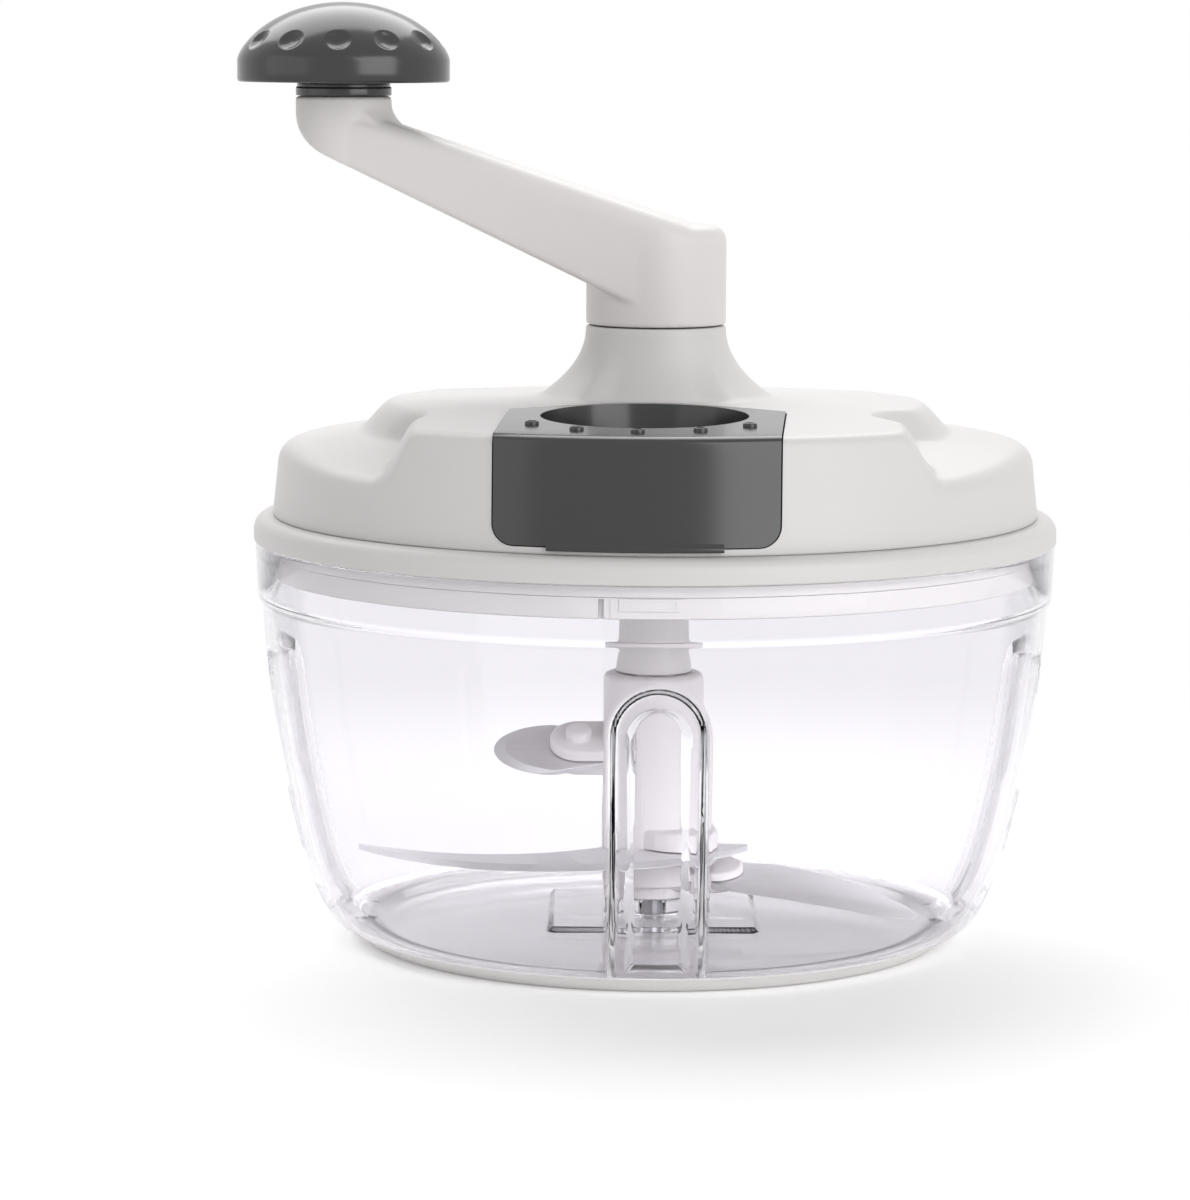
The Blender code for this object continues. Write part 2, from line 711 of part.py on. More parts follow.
def grip_body():
    """The raised middle of the lid, with an S-shaped riser all round its plan."""
    levels = [(-RISER_RUN / 2, plateau_height + OVERRUN)]
    for step in range(RISER_STEPS + 1):
        share = step / RISER_STEPS
        drop = (plateau_height - shoulder_height) * smooth_step(share)
        levels.append((RISER_RUN * (share - RISER_MIDDLE_SHARE), plateau_height - drop))
    levels.append((RISER_RUN / 2, shoulder_height - SHOULDER_FILLET))
    plan = grip_plan()
    mesh_data = bmesh.new()
    rings = []
    for shift, height in levels:
        ring = []
        for reach, angle in plan:
            spot = ((reach + shift) * cos(angle), (reach + shift) * sin(angle), height)
            ring.append(mesh_data.verts.new(spot))
        rings.append(ring)
    for upper, lower in zip(rings, rings[1:]):
        for side in range(len(plan)):
            beside = (side + 1) % len(plan)
            mesh_data.faces.new((upper[side], upper[beside], lower[beside], lower[side]))
    mesh_data.faces.new(rings[0])
    mesh_data.faces.new(rings[-1])
    return new_piece('grip', mesh_data)


def insert_plan(grow=0.0):
    """The insert's outline seen from above: straight sides and a back that wraps the cup."""
    half_width = insert_half_width + grow
    wrap = cup_radius + CUP_MARGIN + grow
    shoulder_rise = cup_centre - insert_back
    reach = hypot(half_width, shoulder_rise)
    corner_angle = atan2(shoulder_rise, half_width)
    start = corner_angle + (pi / 2 - corner_angle) * (1 - wrap / reach) + atan2(wrap, reach)
    front = -lid_radius - 2 * OVERRUN
    points = [(-half_width, front), (half_width, front), (half_width, -insert_back)]
    points += arc((0, -cup_centre), wrap, degrees(start), 180 - degrees(start), PLAN_STEPS)
    points += [(-half_width, -insert_back)]
    return points


def turned_with_insert(piece):
    """Turn a piece of the insert or its pocket to where the insert sits."""
    return placed(piece, Matrix.Rotation(INSERT_TURN, 4, 'Z'))


def on_cup_axis(piece):
    """Move a turned piece from the main axis to the cup's axis."""
    placed(piece, Matrix.Translation((0, -cup_centre, 0)))
    return turned_with_insert(piece)


def lid_posts():
    """Places of the lid's screws, clear of the insert."""
    spots = []
    for index in range(LID_SCREW_COUNT):
        angle = LID_SCREW_TURN + 2 * pi * index / LID_SCREW_COUNT
        spots.append((lid_screw_circle * cos(angle), lid_screw_circle * sin(angle)))
    return spots


def pocket_body():
    """The way in for the insert, a clearance larger all round and open above."""
    pocket = prism('pocket', insert_plan(GAP), lid_seam_height - OVERRUN, neck_top)
    face = rounded_rectangle(insert_half_width + GAP, insert_bottom - GAP, neck_top + OVERRUN,
                             INSERT_CORNER + GAP)
    front = prism('front', face, -OVERRUN, lid_radius + 3 * OVERRUN)
    common(pocket, placed(front, Matrix.Rotation(radians(90), 4, 'X')))
    return turned_with_insert(pocket)


def make_lid_cover():
    """Moulded lid cover: grip with scoops, sloping shoulders, neck, pocket and gear tower."""
    cover = plateau_body('lid_cover')
    common(cover, grip_body())
    join(cover, shoulder_body())
    flare = neck_outline()
    buried = plateau_height - CEILING_THICKNESS / 2
    join(cover, turned('neck', [(0, buried), (FLARE_RADIUS, buried)] + flare + [(0, neck_top)],
                       MIDDLE_SIDES))

    ceiling = shoulder_height - CEILING_THICKNESS
    wall_radius = shoulder_radius - LID_WALL
    foot_radius = lid_radius - LID_WALL
    outline = [(0, lid_seam_height - OVERRUN), (foot_radius, lid_seam_height - OVERRUN)]
    outline += [(foot_radius, lid_seam_height + SPIGOT_RISE + GAP)]
    outline += [(wall_radius - SHOULDER_FILLET / 2, ceiling - SHOULDER_FILLET / 2)]
    outline += [(wall_radius - SHOULDER_FILLET, ceiling), (0, ceiling)]
    cavity = turned('cavity', outline, BIG_SIDES)
    core_radius = grip_half_width - RISER_RUN / 2 - LID_WALL
    join(cavity, disc('core', core_radius, ceiling - OVERRUN, plateau_height - CEILING_THICKNESS,
                      MIDDLE_SIDES))
    pocket_plan = insert_plan(GAP + POCKET_WALL)
    cut(cavity, turned_with_insert(prism('pocket_wall', pocket_plan, lid_seam_height - 2 * OVERRUN,
                                         plateau_height + OVERRUN)))
    cut(cavity, disc('tower', tower_radius + GEAR_TOWER_WALL, lid_seam_height - 2 * OVERRUN,
                     plateau_height + OVERRUN, MIDDLE_SIDES))
    for x, y in lid_posts():
        post = disc('post', POST_RADIUS, lid_seam_height - 2 * OVERRUN, plateau_height, TINY_SIDES)
        cut(cavity, placed(post, Matrix.Translation((x, y, 0))))
    cut(cover, cavity)

    cut(cover, pocket_body())
    cut(cover, on_cup_axis(disc('feed_port', port_radius, lid_seam_height - OVERRUN, insert_bottom + OVERRUN,
                                MIDDLE_SIDES)))
    cut(cover, disc('gear_room', tower_radius, lid_seam_height - OVERRUN, tower_top, MIDDLE_SIDES))
    cut(cover, disc('neck_bore', bush_outer_radius + GAP, tower_top - OVERRUN, neck_top + OVERRUN))
    cut(cover, disc('flange_seat', BUSH_FLANGE_RADIUS + GAP, neck_top - BUSH_FLANGE,
                    neck_top + OVERRUN))
    for x, y in lid_posts():
        hole = disc('screw_hole', LID_SCREW_RADIUS + FIT, lid_seam_height - OVERRUN,
                    base_floor_top + LID_SCREW_LENGTH, TINY_SIDES)
        cut(cover, placed(hole, Matrix.Translation((x, y, 0))))
    return shell_plastic(cover)


def make_lid_base():
    """Base of the lid: flange over the rim, skirt in the bowl, floor and drive boss."""
    flange_top = lid_seam_height - GAP
    lip_radius = RIM_RADIUS + GAP
    outline = [(skirt_radius - SKIRT_WALL, skirt_bottom), (skirt_radius, skirt_bottom)]
    groove_radius = skirt_radius - SEAL_DEPTH
    seal_top = flange_bottom - SEAL_DROP
    seal_bottom = seal_top - SEAL_HEIGHT
    outline += [(skirt_radius, seal_bottom - GAP), (groove_radius - GAP, seal_bottom - GAP)]
    outline += [(groove_radius - GAP, seal_top + GAP), (skirt_radius, seal_top + GAP)]
    outline += [(skirt_radius, flange_bottom), (lip_radius - FLANGE_LIP / 2, flange_bottom)]
    rise = flange_top - flange_bottom - FLANGE_LIP
    run = lip_radius - flange_top_radius
    for step in range(FLANGE_STEPS + 1):
        share = step / FLANGE_STEPS
        radius = flange_top_radius + run * cos(share * pi / 2)
        outline.append((radius, flange_bottom + FLANGE_LIP + rise * sin(share * pi / 2)))
    spigot_radius = lid_radius - LID_WALL - GAP
    outline += [(spigot_radius, flange_top), (spigot_radius - GAP, flange_top + SPIGOT_RISE)]
    outline += [(spigot_radius - SPIGOT_WALL, flange_top + SPIGOT_RISE)]
    outline += [(spigot_radius - SPIGOT_WALL, base_floor_top), (0, base_floor_top)]
    outline += [(0, base_floor_bottom), (skirt_radius - SKIRT_WALL, base_floor_bottom)]
    base = turned('lid_base', outline, BIG_SIDES)
    cut(base, turned_with_insert(prism('pocket', insert_plan(GAP + POCKET_WALL + GAP),
                                       flange_top - GAP, plateau_height)))
    floor_middle = (base_floor_bottom + base_floor_top) / 2
    join(base, disc('gear_seat', tower_radius - GAP, floor_middle, gear_seat_top, MIDDLE_SIDES))
    join(base, disc('drive_boss', drive_boss_radius, drive_boss_bottom, base_floor_top, MIDDLE_SIDES))
    cut(base, disc('drive_bore', drive_bush_radius + GAP, drive_boss_bottom - OVERRUN,
                   gear_seat_top + OVERRUN))
    port = disc('feed_port', port_radius, skirt_bottom, base_floor_top + OVERRUN, MIDDLE_SIDES)
    cut(base, on_cup_axis(port))
    for x, y in lid_posts():
        hole = disc('screw_hole', LID_SCREW_RADIUS + GAP, skirt_bottom, base_floor_top + OVERRUN,
                    TINY_SIDES)
        cut(base, placed(hole, Matrix.Translation((x, y, 0))))

    notch = box('notch', (-NOTCH_WIDTH / 2, -skirt_radius - OVERRUN, skirt_bottom - OVERRUN),
                (NOTCH_WIDTH / 2, -skirt_radius + SKIRT_WALL / 2, skirt_bottom + NOTCH_HEIGHT))
    cut(base, placed(notch, Matrix.Rotation(NOTCH_TURN, 4, 'Z')))
    latch_bottom = skirt_bottom + LATCH_RISE
    latch = tube('latch', skirt_radius - SKIRT_WALL / 2, skirt_radius + LATCH_PROUD, latch_bottom,
                 latch_bottom + LATCH_HEIGHT, BIG_SIDES)
    common(latch, box('latch_width', (-LATCH_WIDTH / 2, -RIM_RADIUS, skirt_bottom),
                      (LATCH_WIDTH / 2, 0, lid_seam_height)))
    join(base, latch)
    return shell_plastic(base)


def make_lid_seal():
    """Soft ring in the skirt's groove, against the inside of the rim."""
    inner = skirt_radius - SEAL_DEPTH
    top = flange_bottom - SEAL_DROP
    return soft_rubber(tube('lid_seal', inner, skirt_radius + GAP, top - SEAL_HEIGHT, top, BIG_SIDES))


def make_lid_screws():
    """Screws that hold the lid's base to the posts of its cover."""
    for index, (x, y) in enumerate(lid_posts()):
        seat = base_floor_bottom - GAP
        tip = base_floor_bottom + LID_SCREW_LENGTH
        outline = [(0, seat - LID_SCREW_HEAD), (LID_SCREW_HEAD_RADIUS, seat - LID_SCREW_HEAD),
                   (LID_SCREW_HEAD_RADIUS, seat), (LID_SCREW_RADIUS, seat), (LID_SCREW_RADIUS, tip),
                   (0, tip)]
        screw = turned('lid_screw_%d' % (index + 1), outline, TINY_SIDES)
        steel(placed(screw, Matrix.Translation((x, y, 0))))


def make_neck_bush():
    """Flanged bush in the neck, in which the crank's shaft turns."""
    inner = SHAFT_RADIUS + FIT
    seat = neck_top - BUSH_FLANGE + GAP
    outline = [(inner, tower_top), (bush_outer_radius, tower_top), (bush_outer_radius, seat),
               (BUSH_FLANGE_RADIUS, seat), (BUSH_FLANGE_RADIUS, neck_top), (inner, neck_top)]
    return gear_plastic(turned('neck_bush', outline, SMALL_SIDES))


def make_drive_bush():
    """Plain bush in the lid base, in which the drive hub turns."""
    return gear_plastic(tube('drive_bush', DRIVE_JOURNAL_RADIUS + FIT, drive_bush_radius,
                             drive_boss_bottom, gear_seat_top))


def gear_outline(teeth, tip_shift, root_shift, phase):
    """Outline of a gear: each tooth has two root corners and two tip corners."""
    pitch_radius = GEAR_MODULE * teeth / 2
    points = []
    tooth_angle = 2 * pi / teeth
    for tooth in range(teeth):
        centre = phase + tooth * tooth_angle
        for share, shift in ((-ROOT_WIDTH_SHARE, root_shift), (-TIP_WIDTH_SHARE, tip_shift),
                             (TIP_WIDTH_SHARE, tip_shift), (ROOT_WIDTH_SHARE, root_shift)):
            angle = centre + share * tooth_angle / 2
            radius = pitch_radius + shift
            points.append((radius * cos(angle), radius * sin(angle)))
    return points


def make_ring_gear():
    """Fixed ring gear, seated in the tower of the lid cover."""
    ring = disc('ring_gear', ring_outer_radius, gear_bottom - GAP, carrier_bottom - GAP,
                MIDDLE_SIDES)
    tip = GEAR_MODULE * ADDENDUM_SHARE
    root = GEAR_MODULE * DEDENDUM_SHARE
    space = gear_outline(RING_TEETH, root, -tip, 0)
    cut(ring, prism('teeth', space, gear_bottom - OVERRUN, carrier_bottom + OVERRUN))
    return gear_plastic(ring)


def planet_spots():
    """Centres of the planet gears, evenly round the sun gear."""
    turns = [2 * pi * index / PLANET_COUNT for index in range(PLANET_COUNT)]
    return [Vector((planet_circle * cos(turn), planet_circle * sin(turn), 0)) for turn in turns]


def make_planet_gear(index):
    """One of the planet gears, with its origin on its own axle."""
    tip = GEAR_MODULE * ADDENDUM_SHARE
    root = GEAR_MODULE * DEDENDUM_SHARE
    gear = prism('planet_gear_%d' % (index + 1), gear_outline(PLANET_TEETH, tip, -root, 0),
                 gear_bottom, gear_top)
    cut(gear, disc('bore', AXLE_RADIUS + FIT, gear_bottom - OVERRUN, gear_top + OVERRUN, TINY_SIDES))
    gear.location = planet_spots()[index]
    return gear_plastic(gear)


def make_sun_gear():
    """Sun gear on the drive hub's hexagonal spigot."""
    tip = GEAR_MODULE * ADDENDUM_SHARE
    root = GEAR_MODULE * DEDENDUM_SHARE
    outline = gear_outline(SUN_TEETH, tip, -root, pi / SUN_TEETH)
    gear = prism('sun_gear', outline, gear_bottom, gear_top)
    cut(gear, disc('bore', SPIGOT_RADIUS + GAP, gear_bottom - OVERRUN, gear_top + OVERRUN,
                   HEX_SIDES))
    return gear_plastic(gear)


def make_planet_carrier():
    """Carrier plate under a hollow shaft that the crank's hub is screwed to."""
    plate_radius = planet_circle + CARRIER_EDGE
    outline = [(0, carrier_bottom), (plate_radius, carrier_bottom), (plate_radius, carrier_top),
               (SHAFT_RADIUS, carrier_top), (SHAFT_RADIUS, shaft_top), (0, shaft_top)]
    carrier = turned('planet_carrier', outline, SMALL_SIDES)
    cut(carrier, disc('screw_bore', CRANK_SCREW_RADIUS + FIT, carrier_bottom - OVERRUN,
                      shaft_top + OVERRUN, TINY_SIDES))
    cut(carrier, disc('head_seat', CRANK_SCREW_HEAD_RADIUS + GAP, carrier_bottom - OVERRUN,
                      carrier_bottom + CRANK_SCREW_HEAD + GAP, TINY_SIDES))
    for spot in planet_spots():
        hole = disc('axle_hole', AXLE_RADIUS + FIT, carrier_bottom - OVERRUN, carrier_top - GAP,
                    TINY_SIDES)
        cut(carrier, placed(hole, Matrix.Translation(spot)))
    return gear_plastic(carrier)


def make_planet_axles():
    """Steel axles that hang from the carrier plate through the planet gears."""
    for index, spot in enumerate(planet_spots()):
        axle = disc('planet_axle_%d' % (index + 1), AXLE_RADIUS, gear_bottom, carrier_top - 2 * GAP,
                    TINY_SIDES)
        steel(placed(axle, Matrix.Translation(spot)))


def make_crank_screw():
    """Long screw up through the carrier's shaft into the crank's hub."""
    head_bottom = carrier_bottom + FIT
    outline = [(0, head_bottom), (CRANK_SCREW_HEAD_RADIUS, head_bottom),
               (CRANK_SCREW_HEAD_RADIUS, head_bottom + CRANK_SCREW_HEAD - FIT),
               (CRANK_SCREW_RADIUS, head_bottom + CRANK_SCREW_HEAD - FIT),
               (CRANK_SCREW_RADIUS, shaft_top + GAP), (0, shaft_top + GAP)]
    return steel(turned('crank_screw', outline, TINY_SIDES))


def make_drive_hub():
    """Drive hub: sun gear spigot, journal, waisted tube and the six-sided plug at its foot."""
    spigot_top = gear_top
    journal_top = gear_seat_top + GAP
    shoulder = drive_boss_bottom - GAP
    tube_bottom = column_top + GAP
    outline = [(0, tube_bottom), (DRIVE_TUBE_RADIUS, tube_bottom)]
    for step in range(1, WAIST_STEPS):
        share = step / WAIST_STEPS
        waist = (DRIVE_TUBE_RADIUS - DRIVE_WAIST_RADIUS) * sin(pi * share)
        outline.append((DRIVE_TUBE_RADIUS - waist, tube_bottom + (shoulder - tube_bottom) * share))
    outline += [(DRIVE_TUBE_RADIUS, shoulder), (DRIVE_JOURNAL_RADIUS, shoulder)]
    outline += [(DRIVE_JOURNAL_RADIUS, journal_top), (0, journal_top)]
    hub = turned('drive_hub', outline, SMALL_SIDES)
    join(hub, disc('plug', PLUG_RADIUS, plug_bottom + GAP, column_top + OVERRUN, HEX_SIDES))
    join(hub, disc('spigot', SPIGOT_RADIUS, journal_top - OVERRUN, spigot_top, HEX_SIDES))
    cut(hub, disc('screw_hole', SUN_SCREW_RADIUS + FIT, spigot_top - SUN_SCREW_LENGTH - GAP,
                  spigot_top + OVERRUN, TINY_SIDES))
    return shell_plastic(hub)


def make_sun_screw():
    """Screw with a wide head that keeps the sun gear on its spigot."""
    head_bottom = gear_top + GAP
    head_top = head_bottom + SUN_SCREW_HEAD
    tip = gear_top - SUN_SCREW_LENGTH
    outline = [(0, tip), (SUN_SCREW_RADIUS, tip), (SUN_SCREW_RADIUS, head_bottom)]
    outline += [(SUN_SCREW_HEAD_RADIUS, head_bottom), (SUN_SCREW_HEAD_RADIUS, head_top)]
    outline += [(0, head_top)]
    return steel(turned('sun_screw', outline, TINY_SIDES))


def arm_height(x, at_boss, at_hub):
    """Height of one of the arm's two slanted lines above a point on the X axis."""
    return at_hub - (at_boss - at_hub) * x / CRANK_REACH


def arm_section(x, top, bottom):
    """Corners of the arm across its length: its sides run straight from the boss to the hub."""
    half_width = BOSS_RADIUS + (NECK_RADIUS - BOSS_RADIUS) * (1 + x / CRANK_REACH) - ARM_SIDE_INSET
    if x > 0:
        half_width = sqrt(NECK_RADIUS ** 2 - x ** 2) - ARM_SIDE_INSET
    right = arc((half_width - ARM_UNDER_ROUNDING, bottom + ARM_UNDER_ROUNDING),
                ARM_UNDER_ROUNDING, 270, 360, 1)
    right += arc((half_width - ARM_ROUNDING, top - ARM_ROUNDING), ARM_ROUNDING, 0, 90,
                 ROUNDING_STEPS)
    left = [(-y, z) for y, z in reversed(right)]
    return [Vector((x, y, z)) for y, z in right + left]


def arm_beam():
    """The arm's slanted body as a loft from inside the boss to inside the hub."""
    sections = []
    foot = -CRANK_REACH + BOSS_RADIUS
    for step in range(ARM_FILLET_STEPS + 1):
        angle = pi / 2 * step / ARM_FILLET_STEPS
        x = foot + ARM_FILLET * (1 - cos(angle))
        raised = ARM_FILLET * (1 - sin(angle))
        top = arm_height(x, arm_top_at_boss, arm_top_at_hub) + raised
        sections.append((x, top))
    sections.insert(0, (-CRANK_REACH, sections[0][1]))
    crest = CRANK_REACH * (arm_top_at_hub - hub_top) / (arm_top_at_boss - arm_top_at_hub)
    for x in (-NECK_RADIUS, 0, crest):
        sections.append((x, arm_height(x, arm_top_at_boss, arm_top_at_hub)))
    mesh_data = bmesh.new()
    loops = []
    for x, top in sections:
        bottom = arm_height(min(x, -NECK_RADIUS + HUB_FILLET), arm_under_at_boss, arm_under_at_hub)
        corners = arm_section(x, min(top, boss_top - GAP), bottom)
        loops.append([mesh_data.verts.new(corner) for corner in corners])
    mesh_data.faces.new(loops[0])
    mesh_data.faces.new(loops[-1])
    for before, after in zip(loops, loops[1:]):
        for index in range(len(before)):
            beside = (index + 1) % len(before)
            mesh_data.faces.new((before[index], before[beside], after[beside], after[index]))
    return new_piece('beam', mesh_data)


def underside_wedge():
    """A slanted block that trims the boss to the line of the arm's underside."""
    far = -CRANK_REACH - 2 * BOSS_RADIUS
    near = -CRANK_REACH + 2 * BOSS_RADIUS
    outline = [(far, arm_under_at_hub), (near, arm_under_at_hub)]
    outline += [(x, arm_height(x, arm_under_at_boss, arm_under_at_hub)) for x in (near, far)]
    wedge = prism('wedge', outline, -2 * BOSS_RADIUS, 2 * BOSS_RADIUS)
    return placed(wedge, Matrix.Rotation(radians(90), 4, 'X'))


def make_crank_arm():
    """Crank arm: round hub over the neck, rising tapered arm and upright boss for the knob."""
    outline = [(0, boss_bottom)]
    outline += arc((BOSS_RADIUS - BOSS_FILLET, boss_bottom + BOSS_FILLET), BOSS_FILLET, 270, 360,
                   ROUNDING_STEPS)
    outline += [(BOSS_RADIUS, boss_top), (0, boss_top)]
    arm = placed(turned('crank_arm', outline, MIDDLE_SIDES), Matrix.Translation((-CRANK_REACH, 0, 0)))
    cut(arm, underside_wedge())

    outline = [(0, hub_bottom), (NECK_RADIUS, hub_bottom)]
    outline += arc((NECK_RADIUS - HUB_FILLET, hub_top - HUB_FILLET), HUB_FILLET, 0, 90,
                   ROUNDING_STEPS)
    outline += [(0, hub_top)]
    join(arm, arm_beam(), turned('hub', outline, MIDDLE_SIDES))
    cut(arm, disc('shaft_socket', SHAFT_RADIUS + GAP, hub_bottom - OVERRUN, shaft_top + 2 * GAP))
    seat = disc('stud_seat', STUD_FOOT_RADIUS + FIT, boss_top - STUD_FOOT, boss_top + OVERRUN)
    cut(arm, placed(seat, Matrix.Translation((-CRANK_REACH, 0, 0))))
    return shell_plastic(arm)


def make_knob_stud():
    """Steel stud in the arm's boss, with a snap bead that keeps the knob on."""
    bottom = boss_top - STUD_FOOT + GAP
    top = boss_top + STUD_RISE
    outline = [(0, bottom), (STUD_FOOT_RADIUS, bottom), (STUD_FOOT_RADIUS, boss_top),
               (STUD_RADIUS, boss_top), (STUD_RADIUS, top - 4 * STUD_BEAD),
               (STUD_RADIUS + STUD_BEAD, top - 3 * STUD_BEAD),
               (STUD_RADIUS + STUD_BEAD, top - 2 * STUD_BEAD), (STUD_RADIUS, top), (0, top)]
    stud = turned('knob_stud', outline, SMALL_SIDES)
    return steel(placed(stud, Matrix.Translation((-CRANK_REACH, 0, 0))))


def knob_dome(share):
    """A point (radius, height) of the knob's domed outside, at a share of the dome's rise."""
    radius = KNOB_RADIUS * (1 - share ** DOME_SHARES[0]) ** DOME_SHARES[1]
    return Vector((radius, KNOB_SKIRT + (KNOB_HEIGHT - KNOB_SKIRT) * share))


def make_knob():
    """Mushroom knob with a ring of finger dimples, hollow beneath round its stem."""
    outline = [(KNOB_RADIUS - KNOB_SHELL, 0), (KNOB_RADIUS, 0)]
    outline += [tuple(knob_dome(sin(pi / 2 * step / KNOB_STEPS))) for step in range(KNOB_STEPS)]
    outline += [(0, KNOB_HEIGHT), (0, 0), (KNOB_STEM_RADIUS, 0)]
    outline += [(KNOB_STEM_RADIUS, KNOB_SKIRT), (KNOB_RADIUS - 2 * KNOB_SHELL, KNOB_SKIRT)]
    knob = turned('knob', outline, MIDDLE_SIDES)
    bore_top = STUD_RISE - COLLAR_HEIGHT + GAP
    cut(knob, disc('stud_bore', STUD_RADIUS + STUD_BEAD + FIT, -OVERRUN, bore_top))
    spot = knob_dome(DIMPLE_HEIGHT_SHARE)
    slope = knob_dome(DIMPLE_HEIGHT_SHARE + DIMPLE_PROBE_SHARE) - spot
    outward = Vector((slope.y, -slope.x)).normalized()
    centre = spot + outward * (DIMPLE_RADIUS - DIMPLE_DEPTH)
    for index in range(DIMPLE_COUNT):
        turn = 2 * pi * index / DIMPLE_COUNT
        mesh_data = bmesh.new()
        bmesh.ops.create_uvsphere(mesh_data, u_segments=DIMPLE_FACES[0], v_segments=DIMPLE_FACES[1],
                                  radius=DIMPLE_RADIUS)
        dimple = placed(new_piece('dimple', mesh_data), Matrix.Translation((centre.x, 0, centre.y)))
        cut(knob, placed(dimple, Matrix.Rotation(turn, 4, 'Z')))
    knob.location = (-CRANK_REACH, 0, knob_bottom)
    return dark_plastic(knob)


def make_knob_collar():
    """Dark collar between the knob and the arm's boss."""
    collar = tube('knob_collar', STUD_RADIUS + STUD_BEAD + FIT, COLLAR_RADIUS, 0, COLLAR_HEIGHT - GAP)
    collar.location = (-CRANK_REACH, 0, collar_bottom)
    return dark_plastic(collar)


def leaf(name, root, reach, width, grow, belly_share):
    """A flat leaf-shaped blade along +X, from its root to a rounded tip."""
    half_width = width / 2 + grow
    root_half_width = half_width * LEAF_ROOT_SHARE
    points = [(root - grow, -root_half_width)]
    centre = root + (reach - root) * belly_share
    tip = reach - centre + grow
    for step in range(LEAF_STEPS + 1):
        angle = pi * step / LEAF_STEPS - pi / 2
        points.append((centre + tip * cos(angle), half_width * sin(angle)))
    points.append((root - grow, root_half_width))
    return prism(name, points, -BLADE_THICKNESS / 2 - grow, BLADE_THICKNESS / 2 + grow)


def pitched(piece, turn, pitch, height):
    """Pitch a blade about its length, turn it about the column and lift it to its height."""
    about_length = Matrix.Rotation(pitch, 4, 'X')
    about_column = Matrix.Rotation(turn, 4, 'Z')
    return placed(piece, Matrix.Translation((0, 0, height)) @ about_column @ about_length)


def upper_blade(name, grow=0.0):
    blade = leaf(name, COLUMN_RADIUS, UPPER_BLADE_REACH, UPPER_BLADE_WIDTH, grow,
                 UPPER_BELLY_SHARE)
    return pitched(blade, UPPER_BLADE_TURN, -UPPER_BLADE_PITCH, UPPER_BLADE_HEIGHT)


def lower_blade(name, grow=0.0):
    blade = leaf(name, COLUMN_RADIUS, lower_blade_reach, LOWER_BLADE_WIDTH, grow,
                 LOWER_BELLY_SHARE)
    return pitched(blade, LOWER_BLADE_TURN, LOWER_BLADE_PITCH, LOWER_BLADE_HEIGHT)


def middle_blade(name, grow=0.0):
    """A broad crescent that passes in front of the column."""
    front = MIDDLE_BLADE_FRONT + grow
    tip = middle_blade_tip + grow
    tail = MIDDLE_BLADE_TAIL + grow
    centre = (tail - tip) / 2
    half_length = (tail + tip) / 2
    points = []
    for step in range(MIDDLE_BLADE_STEPS + 1):
        angle = pi + pi * step / MIDDLE_BLADE_STEPS
        swell = abs(sin(angle)) ** MIDDLE_BLADE_POWER
        points.append((centre + half_length * cos(angle), -front * swell))
    points += arc((0, 0), COLUMN_RADIUS + GAP - grow, -MIDDLE_BITE_MARGIN,
                  MIDDLE_BITE_MARGIN - 180, MIDDLE_BITE_STEPS)
    points.append((-tip * MIDDLE_HEEL_SHARE, grow - MIDDLE_BLADE_BACK))
    blade = prism(name, points, -BLADE_THICKNESS / 2 - grow, BLADE_THICKNESS / 2 + grow)
    return placed(blade, Matrix.Translation((0, 0, MIDDLE_BLADE_HEIGHT)))


def lobe(reach, width, height):
    """A round-ended block along +X that grows from the column and clamps a blade."""
    half_width = width / 2
    outline = [(0, -half_width)]
    outline += arc((reach - half_width, 0), half_width, -90, 90, LOBE_STEPS)
    outline += [(0, half_width)]
    return prism('lobe', outline, -height / 2, height / 2)


